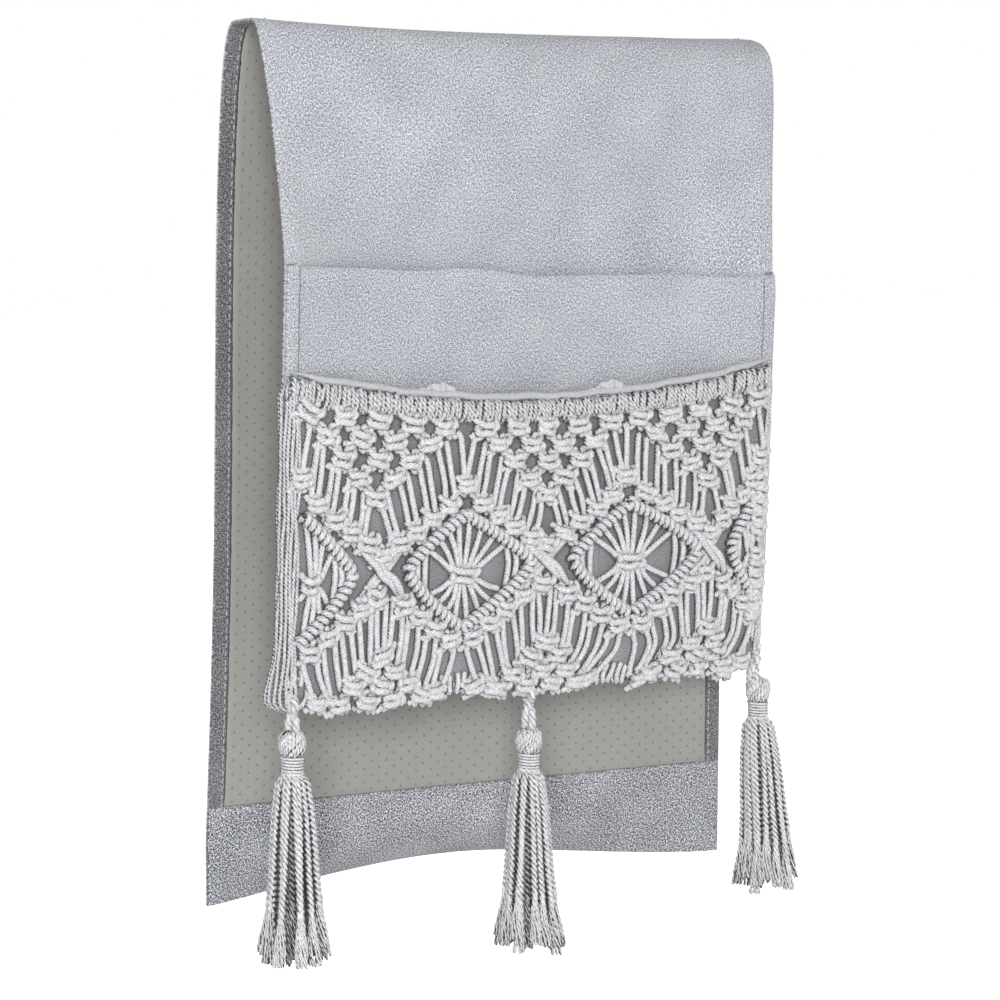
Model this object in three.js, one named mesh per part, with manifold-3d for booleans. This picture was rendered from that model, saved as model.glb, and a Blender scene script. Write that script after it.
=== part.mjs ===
// Armrest caddy: a cloth strip over a sofa arm, with a flat pocket, a knotted cord pocket and tassels.
// Millimetres. The origin is under the middle of the crown, X runs along the arm, the pockets face -Y.
import * as THREE from 'three';
import Module from 'manifold-3d';

// Cloth strip
const WIDTH = 320;
const CROWN_DEPTH = 20;
const CLOTH = 1.2;
const LINING = 0.8;
const CLEAR = 0.3;
const HEM_WIDTH = 9;
const FRONT_DROP = 338;
const REAR_DROP = 465;
const TAIL_BAND = 53;

// Front flap's drape: how far it stands off the fold line at its left and right end
const FRONT_BEND = 126;
const FRONT_OUT_LEFT = 32.4;
const FRONT_OUT_RIGHT = 15.2;
const FRONT_SHOULDER_LEFT = 10;
const FRONT_SHOULDER_RIGHT = 34;
const FRONT_HANG_LEFT = 20;
const FRONT_HANG_RIGHT = 60;
const FRONT_LEAN = 0.064;

// Rear flap's drape
const REAR_BEND = 300;
const REAR_OUT_LEFT = 37.2;
const REAR_OUT_RIGHT = 12.4;
const REAR_SHOULDER_LEFT = 18;
const REAR_SHOULDER_RIGHT = 24;
const REAR_HANG_LEFT = 150;
const REAR_HANG_RIGHT = 220;
const REAR_LEAN = 0;

// Pockets on the front flap
const HOLLOW_TOP = 30;
const UPPER_RIM_LEFT = 121;
const UPPER_RIM_RIGHT = 130;
const UPPER_SAG = 3;
const UPPER_DEPTH = 9;
const UPPER_HEM = 12;
const UPPER_HEM_CLOTH = 1.0;
const NET_RIM = 178;
const NET_SAG = 17;
const SAG_ROW = 106;
const NET_DEPTH = 11;
const NET_TAIL = 14;
const POCKET_CLOTH = 1.0;
const SEAM = 9;
const PIPING = 3.8;
const DIVIDER_LEFT_X = -67;
const DIVIDER_RIGHT_X = 44;
const DIVIDER_CLOTH = 1.2;
const DIVIDER_FOOT = 42;
const DIVIDER_CLEAR = 0.9;

// Knotted net, with rows measured down from the rim
const CORD = 3.8;
const NET_THICK = 4.4;
const NET_CLEAR = 0.5;
const PERIODS = 3;
const SIDE_CORDS = 8.5;
const LOBE = 3;
const HEADER = 11.5;
const KNOTS = 5;
const ROW_STEP = 10.3;
const HOLE_WIDTH = 6;
const HOLE_HEIGHT = 7.5;
const STRANDS = 10;
const STRAND_SLANT = 4;
const APEX_ROW = 65;
const BORDER_ROW = 21;
const ZIGZAG_CENTRE = 84;
const ZIGZAG_BORDER = 48;
const CENTRE_ROW = 102;
const DIAMOND_RISE = 34;
const DIAMOND_SIDE = 16;
const FAN = 5;
const FAN_REACH = 0.6;
const CROSS_GAP = 10;
const LOWER_CENTRE = 19;
const LOWER_BORDER = 46;
const FOOT_TRIANGLE = 31.5;
const FOOT_BORDER = 8;
const FOOT_ROW = 7.6;

// Tassels
const TASSEL_INSET = 7;
const MIDDLE_TASSEL_X = -4;
const CORNER_LOOP = 9.5;
const MIDDLE_LOOP = 23;
const BAR = 3.6;
const EYE_WIDTH = 12;
const EYE_TOP = 7.8;
const LOOP_CORD = 3.4;
const LOOP_LEGS = 4.2;
const HEAD = 15;
const NECK = 10.4;
const WRAP_TURNS = 5;
const WRAP_CORD = 1.6;
const WRAP_PITCH = 2.2;
const WRAP_STEPS = 8;
const SKIRT_LENGTH = 96;
const SKIRT_TOP = 18;
const SKIRT_BODY = 25;
const SKIRT_FOOT = 35;
const FLUTES = 12;
const FLUTE_DEPTH = 1.4;

const FRONT = {
  side: -1,
  bend: FRONT_BEND,
  lean: FRONT_LEAN,
  out: [FRONT_OUT_LEFT, FRONT_OUT_RIGHT],
  shoulder: [FRONT_SHOULDER_LEFT, FRONT_SHOULDER_RIGHT],
  hang: [FRONT_HANG_LEFT, FRONT_HANG_RIGHT],
};
const REAR = {
  side: 1,
  bend: REAR_BEND,
  lean: REAR_LEAN,
  out: [REAR_OUT_LEFT, REAR_OUT_RIGHT],
  shoulder: [REAR_SHOULDER_LEFT, REAR_SHOULDER_RIGHT],
  hang: [REAR_HANG_LEFT, REAR_HANG_RIGHT],
};

const HALF = WIDTH / 2;
const FOLD = CROWN_DEPTH / 2 + CLEAR;
const CLOTH_IN = LINING + CLEAR;
const CLOTH_OUT = CLOTH_IN + CLOTH;

const clothPaint = new THREE.MeshStandardMaterial({ color: '#b4b8bf', roughness: 0.9 });
const liningPaint = new THREE.MeshStandardMaterial({ color: '#a9a59b', roughness: 0.8 });
const cordPaint = new THREE.MeshStandardMaterial({ color: '#e4e4e5', roughness: 0.9 });

const lerp = THREE.MathUtils.lerp;

function stations(from, to, steps) {
  return Array.from({ length: steps + 1 }, (_, i) => lerp(from, to, i / steps));
}

// Point of a flap's armrest side: outward distance and height, with the tangent down the flap
function profile(flap, x, drop) {
  const across = x / WIDTH + 0.5;
  const out = lerp(flap.out[0], flap.out[1], across);
  const shoulder = lerp(flap.shoulder[0], flap.shoulder[1], across);
  const hang = lerp(flap.hang[0], flap.hang[1], across);
  if (drop >= flap.bend) {
    const below = drop - flap.bend;
    return { q: out - flap.lean * below, z: -drop, dq: -flap.lean, dz: -1 };
  }
  const curve = new THREE.CubicBezierCurve(
    new THREE.Vector2(0, 0),
    new THREE.Vector2(shoulder, 0),
    new THREE.Vector2(out + flap.lean * hang, hang - flap.bend),
    new THREE.Vector2(out, -flap.bend),
  );
  const at = curve.getPoint(drop / flap.bend);
  const along = curve.getTangent(drop / flap.bend);
  return { q: at.x, z: at.y, dq: along.x, dz: along.y };
}

// Place a point of the strip: x along the arm, drop down the flap, stand out from its armrest side
function place(flap, x, drop, stand) {
  const p = profile(flap, x, drop);
  const size = Math.hypot(p.dq, p.dz);
  const q = FOLD + p.q - stand * p.dz / size;
  return new THREE.Vector3(x, flap.side * q, p.z + stand * p.dq / size);
}

// Closed solid from points and triangles, turned so that its faces look outward
function closed(points, faces) {
  let volume = 0;
  for (const [a, b, c] of faces) {
    volume += points[a].dot(new THREE.Vector3().crossVectors(points[b], points[c]));
  }
  const turned = volume < 0 ? faces.map(([a, b, c]) => [a, c, b]) : faces;
  const geometry = new THREE.BufferGeometry();
  geometry.setFromPoints(points);
  geometry.setIndex(turned.flat());
  geometry.computeVertexNormals();
  return geometry;
}

// Sheet on a grid of columns and rows, with an inner and an outer skin
function sheet(columns, rows, at) {
  const points = [];
  const faces = [];
  const nx = columns.length;
  const ny = rows.length;
  for (const skin of [0, 1]) {
    for (const row of rows) {
      for (const column of columns) points.push(at(column, row, skin));
    }
  }
  const id = (skin, j, i) => (skin * ny + j) * nx + i;
  const quad = (a, b, c, d) => faces.push([a, b, c], [a, c, d]);
  for (let j = 0; j + 1 < ny; j += 1) {
    for (let i = 0; i + 1 < nx; i += 1) {
      quad(id(1, j, i), id(1, j + 1, i), id(1, j + 1, i + 1), id(1, j, i + 1));
      quad(id(0, j, i), id(0, j, i + 1), id(0, j + 1, i + 1), id(0, j + 1, i));
    }
    quad(id(0, j, 0), id(0, j + 1, 0), id(1, j + 1, 0), id(1, j, 0));
    quad(id(0, j, nx - 1), id(1, j, nx - 1), id(1, j + 1, nx - 1), id(0, j + 1, nx - 1));
  }
  for (let i = 0; i + 1 < nx; i += 1) {
    quad(id(0, 0, i), id(1, 0, i), id(1, 0, i + 1), id(0, 0, i + 1));
    quad(id(0, ny - 1, i), id(0, ny - 1, i + 1), id(1, ny - 1, i + 1), id(1, ny - 1, i));
  }
  return closed(points, faces);
}

// Tube of one cord along a list of points
function tube(points, diameter, steps, sides) {
  const section = new THREE.Shape();
  for (let i = 0; i < sides; i += 1) {
    const turn = (2 * Math.PI * i) / sides;
    const corner = [diameter / 2 * Math.cos(turn), diameter / 2 * Math.sin(turn)];
    if (i === 0) section.moveTo(...corner);
    else section.lineTo(...corner);
  }
  section.closePath();
  const extrudePath = new THREE.CatmullRomCurve3(points);
  return new THREE.ExtrudeGeometry(section, { steps, extrudePath, curveSegments: 1 });
}

const group = new THREE.Group();

function add(name, geometry, paint) {
  const mesh = new THREE.Mesh(geometry, paint);
  mesh.name = name;
  group.add(mesh);
}

// Crown: the flat strip between the two folds; turned hems lie beside the lining, level with it
const liningReach = HALF - HEM_WIDTH - CLEAR;
function crownStrip(name, x0, x1, low, thick, paint) {
  const box = new THREE.BoxGeometry(x1 - x0, CROWN_DEPTH, thick);
  box.translate((x0 + x1) / 2, 0, low + thick / 2);
  add(name, box, paint);
}
crownStrip('crown_cloth', -HALF, HALF, CLOTH_IN, CLOTH, clothPaint);
crownStrip('crown_lining', -liningReach, liningReach, 0, LINING, liningPaint);
crownStrip('crown_left_hem', -HALF, -HALF + HEM_WIDTH, 0, LINING, clothPaint);
crownStrip('crown_right_hem', HALF - HEM_WIDTH, HALF, 0, LINING, clothPaint);

// Pocket rims, and how far each pocket gives: bowed between the side seams, closed at the foot
const pocketFoot = FRONT_DROP - CLEAR;
const bowReach = HALF - SEAM;
function bow(x) {
  return Math.max(0, 1 - (x / bowReach) ** 4);
}
function sag(x) {
  return 1 - (x / HALF) ** 2;
}
function upperRim(x) {
  return lerp(UPPER_RIM_LEFT, UPPER_RIM_RIGHT, x / WIDTH + 0.5) + UPPER_SAG * sag(x);
}
function netRim(x) {
  return NET_RIM + NET_SAG * sag(x);
}
function give(x, drop, rim, depth, power) {
  const down = THREE.MathUtils.clamp((drop - rim) / (pocketFoot - rim), 0, 1);
  return depth * bow(x) * (1 - down ** power) * THREE.MathUtils.smoothstep(drop, HOLLOW_TOP, UPPER_RIM_LEFT);
}
function upperGive(x, drop) {
  return give(x, drop, UPPER_RIM_RIGHT, UPPER_DEPTH, 4);
}
function netGive(x, drop) {
  return give(x, drop, NET_RIM, NET_DEPTH, 3);
}
// The net hangs straight between the side seams, so the layers behind it hang in to make room
function upperStand(x, drop) {
  return CLOTH_OUT + CLEAR - netGive(x, drop);
}
function frontStand(x, drop) {
  return -upperGive(x, drop) - netGive(x, drop);
}
const liningStand = CLOTH_OUT + CLEAR + POCKET_CLOTH + CLEAR;
const netStand = liningStand + POCKET_CLOTH + NET_CLEAR;
function pocketColumns(steps) {
  return [-HALF, ...stations(-bowReach, bowReach, steps), HALF];
}

// Layers of the two flaps; rows are close together where the flap bends
function flapLayer(name, flap, columns, rows, low, thick, paint) {
  const rest = flap === FRONT ? frontStand : () => 0;
  const at = (x, drop, skin) => place(flap, x, drop, rest(x, drop) + low + skin * thick);
  add(name, sheet(columns, rows, at), paint);
}
function hems(name, flap, rows) {
  flapLayer(`${name}_left_hem`, flap, [-HALF, -HALF + HEM_WIDTH], rows, 0, LINING, clothPaint);
  flapLayer(`${name}_right_hem`, flap, [HALF - HEM_WIDTH, HALF], rows, 0, LINING, clothPaint);
}
const frontRows = [...stations(0, FRONT_BEND, 14), ...stations(FRONT_BEND, FRONT_DROP, 7).slice(1)];
const frontColumns = pocketColumns(12);
const frontLiningColumns = [-liningReach, ...frontColumns.filter((x) => Math.abs(x) < liningReach), liningReach];
flapLayer('front_cloth', FRONT, frontColumns, frontRows, CLOTH_IN, CLOTH, clothPaint);
flapLayer('front_lining', FRONT, frontLiningColumns, frontRows, 0, LINING, liningPaint);
hems('front', FRONT, frontRows);

const bandTop = REAR_DROP - TAIL_BAND;
const rearBend = stations(0, REAR_BEND, 14);
flapLayer('rear_cloth', REAR, stations(-HALF, HALF, 4), [...rearBend, REAR_DROP], CLOTH_IN, CLOTH, clothPaint);
const rearRows = [...rearBend, bandTop - CLEAR];
flapLayer('rear_lining', REAR, stations(-liningReach, liningReach, 4), rearRows, 0, LINING, liningPaint);
hems('rear', REAR, rearRows);
flapLayer('tail_band', REAR, [-HALF, HALF], [bandTop, REAR_DROP], 0, LINING, clothPaint);

// Upper pocket: panel and the hem inside its rim
add('upper_pocket', sheet(pocketColumns(12), stations(0, 1, 7), (x, share, skin) => {
  const drop = lerp(upperRim(x), pocketFoot, share);
  return place(FRONT, x, drop, upperStand(x, drop) + skin * POCKET_CLOTH);
}), clothPaint);
const hemReach = bowReach * (1 - (UPPER_HEM_CLOTH + 3 * CLEAR) / UPPER_DEPTH) ** 0.25;
const hemColumns = pocketColumns(12).filter((x) => Math.abs(x) < hemReach);
add('upper_pocket_hem', sheet(hemColumns, [0, UPPER_HEM], (x, row, skin) => {
  const drop = upperRim(x) + row;
  return place(FRONT, x, drop, upperStand(x, drop) - CLEAR - (1 - skin) * UPPER_HEM_CLOTH);
}), clothPaint);

// Where the tassels hang: each has an eye with a bar in the net's foot, and the net's columns keep clear of it
const netHeight = FRONT_DROP + NET_TAIL - NET_RIM;
const period = (WIDTH - 2 * SIDE_CORDS) / PERIODS;
const half = period / 2;
const tassels = [
  { name: 'left', x: -HALF + TASSEL_INSET, loop: CORNER_LOOP },
  { name: 'middle', x: MIDDLE_TASSEL_X, loop: MIDDLE_LOOP },
  { name: 'right', x: HALF - TASSEL_INSET, loop: CORNER_LOOP },
];
function lobes(x) {
  return netHeight + LOBE * Math.cos((2 * Math.PI * x) / period);
}
for (const t of tassels) t.bar = lobes(t.x) - BAR / 2;
const eyeReach = EYE_WIDTH / 2 + CORD;
function nearEye(x) {
  return tassels.find((t) => Math.abs(x - t.x) < eyeReach + 0.001);
}
const netColumns = [
  ...pocketColumns(12).filter((x) => Math.abs(x) === HALF || !nearEye(x)),
  ...tassels.flatMap((t) => [t.x - eyeReach, t.x + eyeReach]).filter((x) => Math.abs(x) < HALF),
].sort((a, b) => a - b);

// Knotted pocket: lining cloth, piping along its rim and the two dividers
function belowRim(x, share) {
  return lerp(netRim(x), pocketFoot, share);
}
add('net_pocket_lining', sheet(netColumns, stations(0, 1, 4), (x, share, skin) => {
  const drop = belowRim(x, share);
  return place(FRONT, x, drop, liningStand + skin * POCKET_CLOTH);
}), clothPaint);

const pipingRoute = stations(-HALF + PIPING / 2, HALF - PIPING / 2, 24).map((x) => {
  const drop = netRim(x) - CLEAR - PIPING / 2;
  return place(FRONT, x, drop, liningStand + CLEAR + PIPING / 2);
});
add('rim_piping', tube(pipingRoute, PIPING, 24, 8), clothPaint);

function divider(name, x) {
  const rows = stations(netRim(x) + PIPING, pocketFoot - DIVIDER_FOOT, 6);
  const at = (across, drop, skin) => {
    const low = upperStand(across, drop) + POCKET_CLOTH + DIVIDER_CLEAR;
    const high = liningStand - DIVIDER_CLEAR;
    return place(FRONT, across, drop, skin ? high : low);
  };
  add(name, sheet([x - DIVIDER_CLOTH / 2, x + DIVIDER_CLOTH / 2], rows, at), clothPaint);
}
divider('left_divider', DIVIDER_LEFT_X);
divider('right_divider', DIVIDER_RIGHT_X);

// Net: drawn flat with its gaps, in x and in rows below the rim, then laid on the pocket
function netDrop(x, row) {
  if (row > SAG_ROW) return NET_RIM + row;
  return lerp(netRim(x), NET_RIM + SAG_ROW, row / SAG_ROW);
}
const gaps = [];
function gap(...corners) {
  gaps.push(corners);
}
function hole(x, row) {
  gap([x - HOLE_WIDTH / 2, row], [x, row - HOLE_HEIGHT / 2], [x + HOLE_WIDTH / 2, row], [x, row + HOLE_HEIGHT / 2]);
}
// Slits between loose strands, from the apex outwards on one side of a period
function slits(centre, hand, top, foot, slant) {
  const spread = (i) => ((i + 0.5) / STRANDS) * half;
  const lean = (i) => slant * (1 - (i / (STRANDS - 1)) ** 2);
  for (let i = 0; i + 1 < STRANDS; i += 1) {
    const a = spread(i) + CORD / 2;
    const b = spread(i + 1) - CORD / 2;
    const c = b + lean(i + 1);
    const d = a + lean(i);
    gap([centre + hand * a, top(a)], [centre + hand * b, top(b)],
      [centre + hand * c, foot(c)], [centre + hand * d, foot(d)]);
  }
}
function edgeLine(atCentre, atSide) {
  return (x) => lerp(atCentre, atSide, Math.min(x / half, 1));
}
const footApex = netHeight - FOOT_TRIANGLE;
const upperTop = edgeLine(APEX_ROW, BORDER_ROW);
const upperFoot = edgeLine(ZIGZAG_CENTRE, ZIGZAG_BORDER);
const lowerTop = edgeLine(CENTRE_ROW + LOWER_CENTRE, CENTRE_ROW + LOWER_BORDER);
const lowerFoot = edgeLine(footApex, netHeight - FOOT_BORDER);

for (let p = 0; p < PERIODS; p += 1) {
  const centre = (p - (PERIODS - 1) / 2) * period;
  const knotStep = period / KNOTS;
  for (let r = 0; r + 1 < KNOTS; r += 1) {
    for (let i = 0; i + 1 < KNOTS - r; i += 1) {
      hole(centre + (i + 1 - (KNOTS - r) / 2) * knotStep, HEADER + (r + 0.5) * ROW_STEP);
    }
  }
  for (const hand of [-1, 1]) {
    slits(centre, hand, upperTop, upperFoot, STRAND_SLANT);
    slits(centre, hand, lowerTop, lowerFoot, -STRAND_SLANT / 2);
    hole(centre + hand * CROSS_GAP, CENTRE_ROW);
  }
  const inner = half / STRANDS / 2 - CORD / 2;
  gap([centre, upperTop(0)], [centre + STRAND_SLANT + inner, upperFoot(0)],
    [centre - STRAND_SLANT - inner, upperFoot(0)]);
  for (let r = 1; r < KNOTS - 1; r += 1) {
    for (let i = 0; i < r; i += 1) {
      hole(centre + (i + 1 - (r + 1) / 2) * knotStep, footApex + (r + 0.5) * FOOT_ROW);
    }
  }
}
// Fans inside the diamonds, which stand on the period borders
for (let p = 0; p <= PERIODS; p += 1) {
  const centre = (p - PERIODS / 2) * period;
  const reach = half - DIAMOND_SIDE;
  for (const hand of [-1, 1]) {
    for (const vertex of [CENTRE_ROW - DIAMOND_RISE, CENTRE_ROW + DIAMOND_RISE]) {
      const row = (d) => lerp(vertex, CENTRE_ROW, d / reach);
      for (let j = 0; j + 1 < FAN; j += 1) {
        const step = (reach - CORD) / FAN;
        const a = CORD + j * step;
        const b = (j + 1) * step;
        const mid = (a + b) / 2;
        gap([centre + hand * a, row(a)], [centre + hand * b, row(b)],
          [centre + hand * mid * (1 - FAN_REACH), lerp(row(mid), CENTRE_ROW, FAN_REACH)]);
      }
    }
  }
  gap([centre - HOLE_WIDTH / 2, HEADER], [centre + HOLE_WIDTH / 2, HEADER], [centre, ZIGZAG_BORDER]);
}

function eyeCorners(t) {
  const x0 = t.x - EYE_WIDTH / 2;
  const x1 = t.x + EYE_WIDTH / 2;
  return [[x0, t.bar - BAR / 2], [x1, t.bar - BAR / 2], [x1, t.bar - EYE_TOP], [x0, t.bar - EYE_TOP]];
}
function keep(corners) {
  const inside = corners.every(([x]) => Math.abs(x) < HALF - SIDE_CORDS);
  const clearOfEyes = corners.every(([x, row]) => tassels.every((t) => (
    Math.abs(x - t.x) > EYE_WIDTH / 2 + CORD || row < t.bar - EYE_TOP - CORD / 2
  )));
  return inside && clearOfEyes;
}
// The foot line is straight under each eye, where its bar runs
function footRow(x) {
  const t = nearEye(x);
  return lobes(t ? t.x : x);
}
const blank = sheet(netColumns, [...stations(0, 1, 4), 2], (x, share, skin) => {
  const drop = share > 1 ? NET_RIM + footRow(x) : belowRim(x, share);
  return place(FRONT, x, drop, netStand + skin * NET_THICK);
});
// A cut right through the net, with the corners of one gap
function cutter(corners) {
  const count = corners.length;
  const points = [-1, NET_THICK + 1].flatMap((stand) => corners.map(([x, row]) => {
    const drop = netDrop(x, row);
    return place(FRONT, x, drop, netStand + stand);
  }));
  const faces = [];
  for (let i = 0; i < count; i += 1) {
    const next = (i + 1) % count;
    faces.push([i, next, count + next], [i, count + next, count + i]);
    if (i > 1) faces.push([0, i, i - 1], [count, count + i - 1, count + i]);
  }
  return closed(points, faces);
}

const wasm = await Module();
wasm.setup();
function solid(geometry) {
  const mesh = new wasm.Mesh({
    numProp: 3,
    vertProperties: new Float32Array(geometry.getAttribute('position').array),
    triVerts: new Uint32Array(geometry.getIndex().array),
  });
  return new wasm.Manifold(mesh);
}
function drawn(manifold) {
  const mesh = manifold.getMesh();
  const geometry = new THREE.BufferGeometry();
  geometry.setAttribute('position', new THREE.BufferAttribute(mesh.vertProperties, mesh.numProp));
  geometry.setIndex(new THREE.BufferAttribute(mesh.triVerts, 1));
  geometry.computeVertexNormals();
  return geometry;
}
const kept = [...gaps.filter(keep), ...tassels.map(eyeCorners)];
console.log(`net gaps: ${kept.length}`);
const cuts = kept.map((corners) => solid(cutter(corners)));
add('knotted_net', drawn(wasm.Manifold.difference([solid(blank), ...cuts])), cordPaint);

// Least gap of a wound cord to itself, measured on points of its centre line
function selfGap(points, diameter) {
  const skip = 2 * diameter;
  let run = 0;
  const runs = points.map((p, i) => {
    run += i ? p.distanceTo(points[i - 1]) : 0;
    return run;
  });
  let least = Infinity;
  for (let i = 0; i < points.length; i += 1) {
    for (let j = i + 1; j < points.length; j += 1) {
      if (runs[j] - runs[i] > skip) least = Math.min(least, points[i].distanceTo(points[j]));
    }
  }
  return least - diameter;
}

// Tassel: loop over the bar of its eye, ball head, wound neck and fluted skirt
const ringRadius = Math.hypot(NET_THICK, BAR) / 2 + 2 * CLEAR + LOOP_CORD / 2;
const neckTop = HEAD / 2 + CLEAR;
const wrapRadius = (NECK / 2 + CLEAR + WRAP_CORD / 2) / Math.cos(Math.PI / WRAP_STEPS);
const wrapLength = WRAP_TURNS * WRAP_PITCH;
const skirtTop = neckTop + WRAP_CORD + wrapLength + CLEAR;

function loopRoute(length) {
  const leg = LOOP_LEGS / 2;
  const down = (hand) => [
    new THREE.Vector3(hand * leg, hand * ringRadius * 0.75, -length * 0.4),
    new THREE.Vector3(hand * leg, 0, -length + LOOP_CORD / 2),
    new THREE.Vector3(hand * leg, 0, -length),
  ];
  const over = stations(0, 1, 8).map((share) => {
    const turn = Math.PI * share;
    const x = lerp(-leg, leg, share) / 2;
    return new THREE.Vector3(x, -ringRadius * Math.cos(turn), ringRadius * Math.sin(turn));
  });
  return [...down(-1).reverse(), ...over, ...down(1)];
}
function wrapRoute() {
  const count = WRAP_TURNS * 24;
  return Array.from({ length: count + 1 }, (_, i) => {
    const turn = (2 * Math.PI * i) / 24;
    const z = -neckTop - WRAP_CORD - (WRAP_PITCH * i) / 24;
    return new THREE.Vector3(wrapRadius * Math.cos(turn), wrapRadius * Math.sin(turn), z);
  });
}
// Skirt with its neck: rings of points, fluted where the cords hang free
function skirt() {
  const foot = skirtTop + SKIRT_LENGTH;
  const rings = [
    [neckTop, NECK / 2, 0],
    [skirtTop, NECK / 2, 0],
    [skirtTop + SKIRT_LENGTH * 0.06, SKIRT_TOP / 2, 0.6],
    [skirtTop + SKIRT_LENGTH * 0.3, lerp(SKIRT_TOP, SKIRT_BODY, 0.7) / 2, 1],
    [skirtTop + SKIRT_LENGTH * 0.6, SKIRT_BODY / 2, 1],
    [skirtTop + SKIRT_LENGTH * 0.8, lerp(SKIRT_BODY, SKIRT_FOOT, 0.4) / 2, 1],
    [foot, SKIRT_FOOT / 2, 1],
  ];
  const around = FLUTES * 4;
  const points = [];
  const faces = [];
  for (const [drop, radius, share] of rings) {
    for (let i = 0; i < around; i += 1) {
      const turn = (2 * Math.PI * i) / around;
      const r = radius + share * FLUTE_DEPTH * Math.cos(FLUTES * turn);
      points.push(new THREE.Vector3(r * Math.cos(turn), r * Math.sin(turn), -drop));
    }
  }
  for (let k = 0; k + 1 < rings.length; k += 1) {
    for (let i = 0; i < around; i += 1) {
      const next = (i + 1) % around;
      const a = k * around + i;
      const b = k * around + next;
      faces.push([a, a + around, b + around], [a, b + around, b]);
    }
  }
  points.push(new THREE.Vector3(0, 0, -neckTop), new THREE.Vector3(0, 0, -foot));
  const last = (rings.length - 1) * around;
  for (let i = 0; i < around; i += 1) {
    const next = (i + 1) % around;
    faces.push([points.length - 2, i, next], [points.length - 1, last + next, last + i]);
  }
  return closed(points, faces);
}

for (const t of tassels) {
  const drop = netDrop(t.x, t.bar);
  const bar = place(FRONT, t.x, drop, netStand + NET_THICK / 2);
  const headCentre = bar.clone();
  headCentre.z -= t.loop + CLEAR + HEAD / 2;
  const loop = tube(loopRoute(t.loop), LOOP_CORD, 28, 6);
  loop.translate(bar.x, bar.y, bar.z);
  add(`${t.name}_tassel_loop`, loop, cordPaint);
  const head = new THREE.SphereGeometry(HEAD / 2, 16, 10);
  head.rotateX(Math.PI / 2);
  const wrap = tube(wrapRoute(), WRAP_CORD, WRAP_TURNS * WRAP_STEPS, 5);
  for (const [piece, geometry] of [['head', head], ['neck_wrap', wrap], ['skirt', skirt()]]) {
    geometry.translate(headCentre.x, headCentre.y, headCentre.z);
    add(`${t.name}_tassel_${piece}`, geometry, cordPaint);
  }
  const at = (v) => v.toArray().map((n) => n.toFixed(2)).join(', ');
  console.log(`${t.name} tassel: bar ${at(bar)}, head ${at(headCentre)}`);
}
console.log(`neck wrap, least gap to itself: ${selfGap(wrapRoute(), WRAP_CORD).toFixed(2)} mm`);

export default group;
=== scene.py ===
"""Dresses the sofa armrest caddy: a grey cloth strip with a dotted lining, two pockets, a net of
knotted cord and three tassels.

Lengths are millimetres until make_mesh turns them into metres. A point on the strip is given by
x (across it), drop (down along the cloth from its fold) and stand (off the lining's inner face, away
from the sofa's arm). A point on the net is given by u (across it), v (down from the pocket's rim) and
w (off its middle plane).
"""

import math

import bpy
import numpy as np
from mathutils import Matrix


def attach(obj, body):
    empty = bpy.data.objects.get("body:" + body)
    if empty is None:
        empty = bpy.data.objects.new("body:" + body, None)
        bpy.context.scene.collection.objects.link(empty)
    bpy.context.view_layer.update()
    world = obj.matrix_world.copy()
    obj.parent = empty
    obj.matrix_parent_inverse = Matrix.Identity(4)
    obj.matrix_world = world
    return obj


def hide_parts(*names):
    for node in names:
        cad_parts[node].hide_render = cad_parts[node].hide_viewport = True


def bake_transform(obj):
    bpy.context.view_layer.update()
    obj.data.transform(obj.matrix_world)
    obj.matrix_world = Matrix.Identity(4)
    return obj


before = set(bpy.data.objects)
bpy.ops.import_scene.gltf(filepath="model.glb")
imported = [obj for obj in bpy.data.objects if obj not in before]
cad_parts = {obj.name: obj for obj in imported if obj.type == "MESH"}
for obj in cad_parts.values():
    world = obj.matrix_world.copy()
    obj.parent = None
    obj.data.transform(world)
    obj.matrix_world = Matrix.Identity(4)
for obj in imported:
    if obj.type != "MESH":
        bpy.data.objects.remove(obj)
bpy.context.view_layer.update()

chance = np.random.default_rng(11)

MM = 0.001

# The strip
WIDTH = 320.0
HALF = WIDTH / 2
FOLD = 10.3
FRONT_DROP = 338.0
REAR_DROP = 465.0
TAIL_BAND = 53.0
HEM_WIDTH = 9.0
FRONT = dict(side=-1, bend=126.0, out=(32.4, 15.2), shoulder=(10.0, 34.0), hang=(20.0, 60.0), lean=0.064)
REAR = dict(side=1, bend=300.0, out=(37.2, 12.4), shoulder=(18.0, 24.0), hang=(150.0, 220.0), lean=0.0)
CLOTH_STAND = 1.7
CLOTH_THICK = 1.2
LINING_STAND = 0.4
LINING_THICK = 0.8
HEM_STAND = 0.45
HEM_THICK = 1.0
STRIP_STEP = 3.0

# Its looser drape, which only the scene has
CURL_LENGTH = 42.0
CURL_TURN = 1.25
CURL_MIDDLE = -5.0
CURL_REACH = 152.0
REAR_HANG_IN = 13.0
REAR_HANG_LENGTH = 432.0
FRONT_HANG_IN = 9.0
FRONT_HANG_LENGTH = 140.0
HANG_EDGE = 60.0
CROWN_DIP = 3.2
DIP_MIDDLE = -45.0
DIP_REACH = (125.0, 190.0)
CORNER_DIP = 3.8

# The pockets
POCKET_FOOT = 337.7
BOW_REACH = 151.0
HOLLOW_TOP = 30.0
UPPER_RIM = (121.0, 130.0)
UPPER_SAG = 3.0
UPPER_DEPTH = 9.0
UPPER_HEM = 12.0
SIDE_SEAM = 151.6
NET_RIM = 178.0
NET_SAG = 17.0
SAG_ROW = 106.0
NET_DEPTH = 11.0
PANEL_STAND = 3.1
POCKET_CLOTH = 1.0
NET_LINING_STAND = 4.4
NET_LINING_FOOT = 344.5
NET_STAND = 7.6
PIPING = 4.4
DIVIDERS = {"left": -67.0, "right": 44.0}
DIVIDER_FOOT = 42.0
GATHER_REACH = 13.0

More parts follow.
